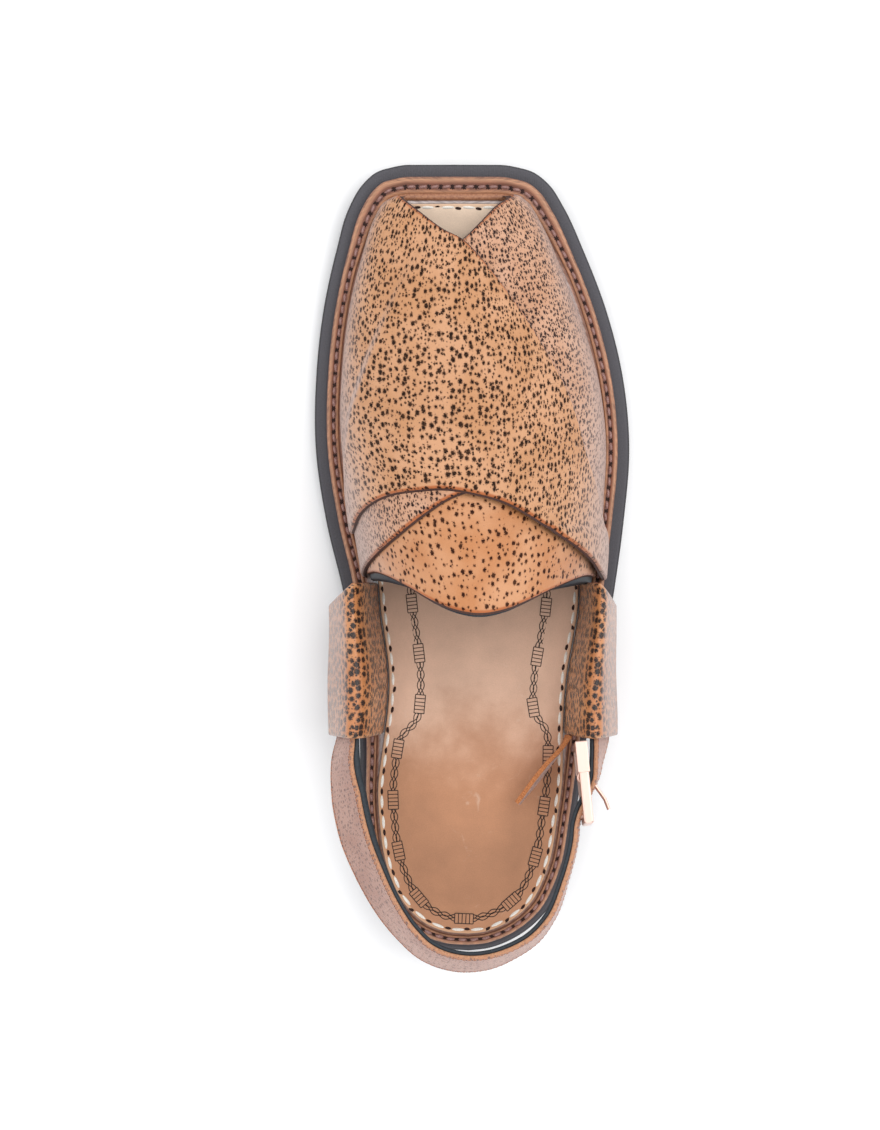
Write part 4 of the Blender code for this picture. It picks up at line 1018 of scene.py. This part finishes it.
# soft hollows and swells: along, across, length and width in shares, turn in degrees, height in mm
overCreases = [
    (0.700, 0.40, 0.030, 0.28, 12, -0.35),
    (0.735, 0.44, 0.028, 0.26, 8, 0.25),
    (0.655, 0.34, 0.022, 0.22, 16, 0.22),
    (0.625, 0.18, 0.020, 0.12, 30, -0.35),
    (0.560, 0.90, 0.022, 0.08, -40, -0.30),
    (0.840, 0.30, 0.050, 0.20, -20, 0.25),
]
underCreases = [
    (0.560, 0.12, 0.020, 0.10, 35, -0.35),
    (0.760, 0.86, 0.040, 0.10, -15, -0.25),
    (0.880, 0.74, 0.035, 0.14, 20, 0.22),
]
tongueCreases = [
    (0.500, 0.50, 0.030, 0.30, 0, 0.30),
    (0.475, 0.22, 0.020, 0.10, -25, -0.25),
    (0.480, 0.80, 0.020, 0.10, 25, -0.25),
]


def creaseHeight(along, across, creases):
    total = np.zeros(np.shape(along))
    girth = 0.45  # the way round the last, as a share of the length
    for atAlong, atAcross, length, width, turn, height in creases:
        c, s = math.cos(math.radians(turn)), math.sin(math.radians(turn))
        a, b = along - atAlong, (across - atAcross) * girth
        u, v = a * c + b * s, (b * c - a * s) / girth
        total += height * mm * np.exp(-(u / length) ** 2 - (v / width) ** 2)
    return total


def spacedShares(count, rearShare, frontShare=None):
    # even shares with three more rows close to each end, where the edge is rounded
    close = np.array([0.0, 0.18, 0.45, 1.0])
    rear = close * rearShare
    front = close * (rearShare if frontShare is None else frontShare)
    return np.concatenate((rear[:-1], np.linspace(rear[-1], 1 - front[-1], count), 1 - front[:-1][::-1]))


def edgeSlant(along, across):
    # how square the edge lies to the run along the last: 1 across it, near 0 along it
    line = lastSurface(along, across)
    run = np.gradient(line, axis=0)
    ahead = lastSurface(along + 0.004, across) - line
    turned = np.linalg.norm(np.cross(run, ahead), axis=1)
    return np.clip(turned / np.linalg.norm(run, axis=1) / np.linalg.norm(ahead, axis=1), 0.2, 1.0)


def leatherSheet(name, edges, low, thickness, creases, materials, stands, form, columns=150, rowCount=54):
    # a thick sheet on the last between its front and rear edges, with rounded cut edges
    across = np.linspace(edges[0][0], edges[-1][0], columns + 1)
    fore, aft = columnReader(edges, 1)(across), columnReader(edges, 2)(across)
    span = (fore - aft) * shoe["length"]
    slantRear, slantFront = edgeSlant(aft, across), edgeSlant(fore, across)
    top, bottom, fromEdge = [], [], []
    for k, share in enumerate(across):
        close = form["rounding"] / span[k]
        shares = spacedShares(rowCount, min(close / slantRear[k], 0.2), min(close / slantFront[k], 0.2))
        along = aft[k] + (fore[k] - aft[k]) * shares
        sideways = np.full(len(shares), share)
        base = low(along, sideways) + creaseHeight(along, sideways, creases)
        away = np.minimum(shares * slantRear[k], (1 - shares) * slantFront[k]) * span[k]
        bend = np.sqrt(np.clip(1 - (1 - np.minimum(away / form["rounding"], 1)) ** 2, 0, 1))
        full = form["edgeShare"] + (1 - form["edgeShare"]) * bend
        foot = along.copy()
        foot[0] -= form["splay"] / shoe["length"] / slantRear[k]
        foot[-1] += form["splay"] / shoe["length"] / slantFront[k]
        bottom.append(lastPoint(foot, sideways, base))
        top.append(lastPoint(along, sideways, base + thickness * full))
        fromEdge.append(away)
    top, bottom = np.array(top), np.array(bottom)
    # the flat hide: run round the last across, and run along it, both in metres
    middle = top[:, top.shape[1] // 2]
    u = np.repeat(runLength(middle)[:, None], top.shape[1], axis=1)
    v = top[..., 1] + 0.35 * (top[..., 2] - top[..., 2].mean())
    lay = np.stack((u, v, np.array(fromEdge)), axis=-1)
    size = top.shape[1]
    grid = loftFaces(columns + 1, size, closed=False)
    offset = (columns + 1) * size
    rims = [(column * size + row, (column + 1) * size + row)
            for column in range(columns) for row in (0, size - 1)]
    rims += [(column * size + row, column * size + row + 1)
             for column in (0, columns) for row in range(size - 1)]
    faces = grid + [tuple(v + offset for v in face) for face in grid]
    faces += [(a, b, b + offset, a + offset) for a, b in rims]
    picks = [0] * len(grid) + [2] * len(grid) + [1] * len(rims)
    points = np.vstack((top.reshape(-1, 3), bottom.reshape(-1, 3)))
    return makePiece(name, points, faces, materials, picks, np.vstack((lay.reshape(-1, 3),) * 2), stands)


underFront = columnReader(underEdges, 1)


def coverLift(along, across):
    # the upper strap lies on the last, and climbs on to the lower strap where that is under it
    ahead = (underFront(across) - along) * shoe["length"] / strapForm["coverWidth"]
    covered = np.where(across > 0.5, 1.0, ease(ahead + 1.0))
    return (strapForm["thickness"] + strapForm["crossGap"]) * covered


leatherSheet("underStrap", underEdges, lambda along, across: np.zeros(np.shape(along)), strapForm["thickness"],
             underCreases, [underHide, paintedShadowEdge, darkLining], [], strapForm)
leatherSheet("overStrap", overEdges, coverLift, strapForm["thickness"],
             overCreases, [strapHide, paintedShadowEdge, darkLining], ["upper"], strapForm)

tongueForm = {**strapForm, "rounding": 0.6 * mm, "edgeShare": 0.55}
tongueSizes = {"leather": 1.3 * mm, "lining": 1.1 * mm, "gap": 0.5 * mm}
liningEdges = [
    (0.04, 0.530, 0.469),
    (0.10, 0.565, 0.470),
    (0.17, 0.605, 0.470),
    (0.24, 0.625, 0.468),
    (0.31, 0.640, 0.4625),
    (0.38, 0.648, 0.4475),
    (0.45, 0.650, 0.4365),
    (0.52, 0.650, 0.4325),
    (0.59, 0.650, 0.4375),
    (0.66, 0.645, 0.4485),
    (0.73, 0.638, 0.4605),
    (0.80, 0.590, 0.4640),
    (0.88, 0.520, 0.4660),
    (0.97, 0.496, 0.4650),
]
tongueLow = -tongueSizes["gap"] - tongueSizes["leather"]
liningLow = tongueLow - tongueSizes["lining"]
leatherSheet("tongueLeather", tongueEdges, lambda along, across: np.full(np.shape(along), tongueLow),
             tongueSizes["leather"], tongueCreases, [tongueHide, paintedShadowEdge, darkLining],
             ["tongue"], tongueForm, 110, 40)
leatherSheet("tongueLining", liningEdges, lambda along, across: np.full(np.shape(along), liningLow),
             tongueSizes["lining"] - 0.05 * mm, tongueCreases, [darkLining] * 3,
             [], tongueForm, 90, 24)
print("straps and tongue built")

# Side loops, by their section: outer skin, then cavity, as shares of the loop's depth and height
loopRows = [
    (-0.056, 0.008, 0.075, 0.120),
    (-0.035, 0.170, 0.085, 0.215),
    (0.060, 0.430, 0.170, 0.430),
    (0.155, 0.690, 0.272, 0.690),
    (0.240, 0.862, 0.356, 0.870),
    (0.345, 0.968, 0.410, 0.932),
    (0.480, 1.010, 0.492, 0.950),
    (0.610, 0.972, 0.566, 0.908),
    (0.712, 0.865, 0.600, 0.835),
    (0.815, 0.695, 0.707, 0.640),
    (0.948, 0.425, 0.840, 0.415),
    (1.000, 0.288, 0.892, 0.297),
    (0.910, 0.172, 0.830, 0.218),
    (0.600, 0.092, 0.570, 0.156),
    (0.300, 0.036, 0.290, 0.112),
    (0.185, 0.008, 0.165, 0.105),
]
loopForm = {
    "length": 0.059,
    "front": 0.1142,
    "height": 0.040,
    "frontCut": 0.0085,
    "reach": {-1: 0.0545, 1: 0.0575},
    "stations": 44,
    "rounding": 0.8 * mm,
    "swell": 0.012,  # share by which the skin bulges along the loop
    "wave": 0.004,  # share by which its height wanders
}
bedEdge = {side: edgeReader(side, insoleMargin) for side in (-1, 1)}
loopFoot = -loopRows[0][0]


def loopDepth(side, y):
    room = loopForm["reach"][side] - abs(bedEdge[side](y)) - shoe["gap"]
    return room / (1 + loopFoot)


def loopPoint(side, y, out, up):
    depth = loopDepth(side, y)
    foot = abs(bedEdge[side](y)) + shoe["gap"] + loopFoot * depth
    return np.array((side * (foot + out * depth), y, midsoleTop(y) + up * loopForm["height"]))


def sideLoop(name, side, node):
    rear = loopForm["front"] - loopForm["length"]
    skin = smoothCurve([row[:2] for row in loopRows], 6)
    cavity = smoothCurve([row[2:] for row in loopRows], 6)
    shares = spacedShares(loopForm["stations"], loopForm["rounding"] / loopForm["length"])
    rings, lays = [], []
    count = len(skin)
    for outline, inner in ((skin, False), (cavity, True)):
        for share in shares:
            away = min(share, 1 - share) * loopForm["length"]
            bend = math.sqrt(max(1 - (1 - min(away / loopForm["rounding"], 1)) ** 2, 0))
            ring = []
            for i in range(count):
                out, up = outline[i]
                if not inner:
                    # the skin closes towards the cavity at the folded ends
                    hold = 0.55 + 0.45 * bend
                    out, up = cavity[i] + (skin[i] - cavity[i]) * hold
                # the outer wall's front is cut back
                outer = np.clip((skin[i][0] - 0.4) / 0.6, 0, 1)
                front = loopForm["front"] - loopForm["frontCut"] * outer ** 1.3
                y = rear + (front - rear) * share
                swell = 1 + loopForm["swell"] * math.sin(share * 7.1 + side) * (0 if inner else 1)
                wave = 1 + loopForm["wave"] * math.sin(share * 9 + 2 * side)
                ring.append(loopPoint(side, y, out * swell, up * wave))
            ring = np.array(ring)
            rings.append(ring)
            around = runLength(ring)
            lays.append(np.column_stack((around, ring[:, 1], np.full(count, away))))
    size = len(shares)
    grid = loftFaces(size, count)
    offset = size * count
    rims = [(a + i, a + (i + 1) % count) for a in (0, (size - 1) * count) for i in range(count)]
    faces = grid + [tuple(v + offset for v in face) for face in grid]
    faces += [(a, b, b + offset, a + offset) for a, b in rims]
    picks = [1 if face[0] < count or face[0] >= (size - 2) * count else 0 for face in grid]
    picks += [2] * len(grid) + [1] * len(rims)
    return makePiece(name, np.vstack(rings), faces, [loopHide, rawEdge, darkLining], picks, np.vstack(lays),
                     [node])


sideLoop("medialLoop", -1, "loop_medial")
sideLoop("lateralLoop", 1, "loop_lateral")
print("side loops built")

# Heel strap: grained outer band and padded lining, swept along the same middle line. Its rows are shares of
# the run from the sole's rear to the loops, of the ball's width and of the instep's height, then the lean of
# the top edge in degrees
bandRows = [
    (0.890, -0.386, 0.626, 21.0),
    (0.725, -0.374, 0.650, 30.0),
    (0.555, -0.347, 0.690, 31.0),
    (0.395, -0.302, 0.725, 29.0),
    (0.225, -0.238, 0.750, 25.0),
    (0.134, -0.190, 0.762, 22.0),
    (0.054, -0.130, 0.770, 21.0),
    (0.004, -0.028, 0.772, 20.0),
    (0.011, 0.057, 0.770, 18.0),
    (0.047, 0.126, 0.765, 15.0),
    (0.116, 0.201, 0.755, 12.0),
    (0.200, 0.247, 0.742, 8.0),
    (0.366, 0.292, 0.712, 5.0),
    (0.544, 0.323, 0.676, 4.0),
    (0.609, 0.328, 0.664, 4.0),
    (0.664, 0.338, 0.654, 4.0),
    (0.736, 0.361, 0.645, 4.0),
    (0.812, 0.384, 0.636, 5.0),
    (0.900, 0.394, 0.622, 9.0),
]
bandForm = {
    "width": 22 * mm,
    "end": 0.030,
    "inLoop": (0.607, 0.612),
    "outer": 1.6 * mm,  # outer leather from the middle line outwards
    "lining": 1.7 * mm,  # padded lining from the middle line inwards
    "padding": 0.75,  # how much thicker it gets behind the loops
    "perSpan": 9,
}


def bandLine():
    rear = loopForm["front"] - loopForm["length"]
    front = loopForm["front"] - bandForm["end"]
    # inside a loop the strap leans as the cavity's outer wall does
    high, low = loopRows[8], loopRows[10]
    inside = {-1: [], 1: []}
    for side, rows in inside.items():
        for y in (front, (front + rear) / 2, rear):
            drop, reach = (high[3] - low[3]) * loopForm["height"], (low[2] - high[2]) * loopDepth(side, y)
            rows.append((loopPoint(side, y, *bandForm["inLoop"]), math.degrees(math.atan2(reach, drop))))
    run = rear - shoe["rear"]
    sizes = np.array((shoe["ballWidth"], run, shoe["instep"]))
    behind = [(np.array((across, along, height)) * sizes + np.array((0.0, shoe["rear"], 0.0)), lean)
              for along, across, height, lean in bandRows]
    return inside[-1] + behind + inside[1][::-1]


def sweepFrames(line, perSpan):
    # middle points with their forward, up and outward directions, leaning as the rows say
    stations = smoothCurve([row[0] for row in line], perSpan)
    places = np.arange(len(stations)) / perSpan
    leans = np.radians(np.interp(places, range(len(line)), [row[1] for row in line]))
    before = np.vstack((stations[:1], stations[:-1]))
    after = np.vstack((stations[1:], stations[-1:]))
    forward = after - before
    forward /= np.linalg.norm(forward, axis=1)[:, None]
    outward = np.cross(forward, (0.0, 0.0, 1.0))
    outward /= np.linalg.norm(outward, axis=1)[:, None]
    upright = np.cross(outward, forward)
    c, s = np.cos(leans)[:, None], np.sin(leans)[:, None]
    return stations, forward, upright * c - outward * s, outward * c + upright * s


def roundedSection(low, high, near, far, corner, steps=3):
    # rectangle with rounded corners, as (rise, reach) pairs
    points = []
    for rise, reach, start in ((high - corner, far - corner, 0), (low + corner, far - corner, 90),
                               (low + corner, near + corner, 180), (high - corner, near + corner, 270)):
        for k in range(steps + 1):
            turn = math.radians(start + 90 * k / steps)
            points.append((rise + corner * math.cos(turn), reach + corner * math.sin(turn)))
    return points


def sweep(name, frames, section, materials, pick, stands, widths=None, depths=None):
    # section as (rise, reach) pairs; pick says which material a side of it has
    stations, _, up, out = frames
    rings, lays = [], []
    run = runLength(stations)
    section = np.array(section)
    for i, middle in enumerate(stations):
        scale = 1.0 if widths is None else widths[i]
        rise = section[:, 0] * scale
        reach = section[:, 1] * (1.0 if depths is None else depths[i])
        ring = middle + rise[:, None] * up[i] + reach[:, None] * out[i]
        rings.append(ring)
        fromEdge = np.abs(section[:, 0]).max() * scale - np.abs(rise)
        lays.append(np.column_stack((np.full(len(section), run[i]), rise + np.sign(reach) * 0.05, fromEdge)))
    size = len(section)
    faces = loftFaces(len(rings), size)
    picks = [pick(section[face[0] % size], section[face[1] % size]) for face in faces]
    faces += [tuple(range(size)), tuple((len(rings) - 1) * size + k for k in range(size))]
    picks += [pick(section[0], section[1])] * 2
    return makePiece(name, np.vstack(rings), faces, materials, picks, np.vstack(lays), stands)


bandFrames = sweepFrames(bandLine(), bandForm["perSpan"])


def denseSection(low, high, near, far, corner):
    # the same, with more points across its broad faces so that the grain and swell are even
    corners = roundedSection(low, high, near, far, corner)
    across = np.linspace(high - corner, low + corner, 12)[1:-1]
    outer, inner = [(rise, far) for rise in across], [(rise, near) for rise in across[::-1]]
    return corners[:4] + outer + corners[4:12] + inner + corners[12:]


outerSection = denseSection(-bandForm["width"] / 2, bandForm["width"] / 2, 0.0, bandForm["outer"], 0.55 * mm)
liningSection = denseSection(-bandForm["width"] / 2 + 0.3 * mm, bandForm["width"] / 2 - 0.2 * mm,
                             -bandForm["lining"], -0.02 * mm, 0.75 * mm)
sweep("heelStrapLeather", bandFrames, outerSection, [bandHide, turnedEdge],
      lambda a, b: 0 if min(a[1], b[1]) > 0.9 * mm else 1, ["heel_strap"])
# the padding is thin inside the loops and fullest behind the medial one
middle = bandFrames[0]
behindLoops = ease((loopForm["front"] - loopForm["length"] - middle[:, 1]) / 0.012)
medialSide = ease((middle[:, 1] + 0.01) / 0.03) * ease(-middle[:, 0] / 0.02)
padding = 1 + bandForm["padding"] * behindLoops * medialSide
sweep("heelStrapLining", bandFrames, liningSection, [darkLining], lambda a, b: 0, [],
      depths=padding)

bandSeam = {
    "pitch": 2.1 * mm,
    "thread": (1.6 * mm, 0.42 * mm, 0.36 * mm),
    "hole": (0.7 * mm, 0.5 * mm, 0.16 * mm),
    "inset": 1.3 * mm,
    "bareEnd": 0.012,  # run at each end, inside the loops, that has no stitches
}
stations, _, up, out = bandFrames
parts = []
for sign in (-1, 1):
    path = stations + up * sign * (bandForm["width"] / 2 - bandSeam["inset"]) + out * bandForm["outer"]
    frames = rowFrames(path, out, bandSeam["pitch"], bandSeam["bareEnd"], bandSeam["bareEnd"])
    parts.append(stamp(bead(*bandSeam["thread"]), frames, (0, 0, 0.05 * mm), 0.0, 0.06))
    # a dark bead between stitches stands for each hole's painted shade
    parts.append(stamp(bead(*bandSeam["hole"]), frames, (bandSeam["pitch"] / 2, 0, 0.04 * mm), 0.0, 0.3))
points, faces, picks = joinShapes(parts)
makePiece("heelStrapStitches", points, faces, [tanThread, holePaintedShade] * 2, picks, None)
print("heel strap built")


def ribbonFrames(path):
    # frames of a level line: its rise lies sideways, its reach points up
    forward = np.gradient(path, axis=0)
    forward /= np.linalg.norm(forward, axis=1)[:, None]
    upward = np.tile((0.0, 0.0, 1.0), (len(path), 1))
    return path, forward, np.cross(upward, forward), upward


rollForm = {"inset": 8.0 * mm, "width": 2.9 * mm, "height": 1.25 * mm, "from": 0.905}
edges = [insetEdge(side, lambda share: rimMargin(share) + rollForm["inset"]) for side in (-1, 1)]
edges = [edge[edge[:, 1] > placeAlong(rollForm["from"])] for edge in edges]
ring = np.vstack((edges[0], edges[1][::-1][1:]))
path = np.column_stack((ring, midsoleTop(ring[:, 1])))
turns = np.linspace(0, math.pi, 9)
section = [(rollForm["width"] / 2 * math.cos(turn), rollForm["height"] * math.sin(turn)) for turn in turns]
section += [(-rollForm["width"] / 2, -0.2 * mm), (rollForm["width"] / 2, -0.2 * mm)]
sweep("toeRoll", ribbonFrames(path), section, [rollHide], lambda a, b: 0, [])

# two twisted strands, tied every so often; the line steps outwards behind the waist
cordForm = {
    "waistInset": 12.6 * mm,
    "heelInset": 6.0 * mm,
    "step": (0.053, 0.060),  # y over which the line steps from one inset to the other
    "front": 0.118,
    "twist": 8.4 * mm,
    "swing": 0.75 * mm,
    "strand": 0.62 * mm,
    "stroke": 0.34 * mm,
    "tiePitch": 19.0 * mm,
    "tieBars": 6,
    "barGap": 1.45 * mm,
    "barLength": 3.9 * mm,
    "ink": (0.02 * mm, 0.13 * mm),  # foot and top of a bar's ink over the leather, drawn thick enough to show
}


def cordInset(share):
    low, high = cordForm["step"]
    heel, waist = cordForm["heelInset"], cordForm["waistInset"]
    return heel + (waist - heel) * ease((placeAlong(share) - low) / (high - low))


ring = insetRing(lambda share: insoleMargin(share) + cordInset(share))
crop = ring[:, 1] < cordForm["front"]
start = int(np.argmin(crop))
ring = np.roll(ring, -start, axis=0)
ring = ring[np.roll(crop, -start)]
# the ink follows the insole's dip, which goes by the distance from its edge
inset = np.linalg.norm(ring[:, None] - insetRing(insoleMargin)[None], axis=2).min(axis=1)
dip = np.interp(inset / mm, *zip(*[row for row in bedForm["top"] if row[0] >= 2.3])) * mm + 0.03 * mm
path = np.column_stack((ring, weltSeat(ring[:, 1]) + shoe["insole"] + dip))
run = runLength(path)
fine = np.arange(0, run[-1], 0.3 * mm)
path = np.column_stack([np.interp(fine, run, path[:, k]) for k in range(3)])
for smoothing in range(3):
    held = np.vstack((path[:1].repeat(8, axis=0), path, path[-1:].repeat(8, axis=0)))
    path = np.column_stack([np.convolve(held[:, k], np.ones(17) / 17, "valid") for k in range(3)])
_, forward, beside, upward = ribbonFrames(path)
stroke = cordForm["stroke"] / 2
section = [(stroke, -0.04 * mm), (stroke, 0.06 * mm), (-stroke, 0.06 * mm), (-stroke, -0.04 * mm)]
for name, phase in (("cordStrandOne", 0.0), ("cordStrandTwo", math.pi)):
    swing = cordForm["swing"] * np.sin(2 * math.pi * fine / cordForm["twist"] + phase)
    for sign, edgeName in ((-1, "In"), (1, "Out")):
        line = path + beside * (swing + sign * cordForm["strand"])[:, None]
        sweep(name + edgeName, ribbonFrames(line), section, [printInk], lambda a, b: 0, [])


def flatBox(length, width, low, high):
    signs = ((-1, -1), (1, -1), (1, 1), (-1, 1))
    corners = np.array([(x * length / 2, y * width / 2, z) for z in (low, high) for x, y in signs])
    return corners, [(0, 3, 2, 1), (4, 5, 6, 7), (0, 1, 5, 4), (1, 2, 6, 5), (2, 3, 7, 6), (3, 0, 4, 7)]


ties = rowFrames(path, upward, cordForm["tiePitch"])
tieLength = (cordForm["tieBars"] - 1) * cordForm["barGap"]
grounds, groundFaces = stamp(flatBox(tieLength, cordForm["barLength"], -0.02 * mm, 0.09 * mm), ties)
rung = flatBox(cordForm["stroke"], cordForm["barLength"], *cordForm["ink"])
rail = flatBox(tieLength, cordForm["stroke"], *cordForm["ink"])
shifts = [(i + 0.5) * cordForm["barGap"] - cordForm["tieBars"] / 2 * cordForm["barGap"]
          for i in range(cordForm["tieBars"])]
bars = [stamp(rung, ties, (shift, 0, 0)) for shift in shifts]
bars += [stamp(rail, ties, (0, side * cordForm["barLength"] / 2, 0)) for side in (-1, 1)]
points, faces, picks = joinShapes(bars)
makePiece("cordTies", points, faces, [printInk], [0] * len(picks), None)
# a bare ground under each tie hides the strands that pass below it
groundLay = np.column_stack((grounds[:, :2], np.full(len(grounds), 9 * mm)))
makePiece("cordTieGrounds", grounds, groundFaces, [bedHide], None, groundLay)
print("toe roll and printed cord built")

# Buckle, and the loose end of the strap
for node, material in (("buckle_frame", rosePlate), ("buckle_prong", prongPlate)):
    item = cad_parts[node]
    for slotIndex in range(len(item.material_slots)):
        item.material_slots[slotIndex].material = material

billetForm = {
    "length": 0.033,
    "width": 11 * mm,
    "thickness": 1.8 * mm,
    "start": (0.02, 0.26),  # out and up in the loop's section
    "taper": 0.55,  # share of the width that the tip loses
    # back, inward and rise as shares of the length, then lean in degrees
    "rows": [(0.00, 0.00, 0.00, 4.0), (0.11, 0.06, 0.01, -2.0), (0.33, 0.24, 0.03, -9.0),
             (0.56, 0.42, 0.04, -12.0), (0.79, 0.60, 0.04, -13.0)],
}
start = loopPoint(1, loopForm["front"] - loopForm["length"], *billetForm["start"])
start = start - np.array((0.0, shoe["gap"], 0.0))
line = [(start + np.array((-inward, -back, lift)) * billetForm["length"], lean)
        for back, inward, lift, lean in billetForm["rows"]]
billetFrames = sweepFrames(line, 10)
shares = np.linspace(0, 1, len(billetFrames[0]))
taper = 1 - billetForm["taper"] * ease((shares - 0.6) / 0.4)
section = denseSection(-billetForm["width"] / 2, billetForm["width"] / 2, -billetForm["thickness"] / 2,
                       billetForm["thickness"] / 2, 0.35 * mm)
sweep("strapEnd", billetFrames, section, [bandHide, rawEdge],
      lambda a, b: 0 if max(a[1], b[1]) < -0.8 * mm else 1, ["billet"], taper)
print("buckle and strap end built")
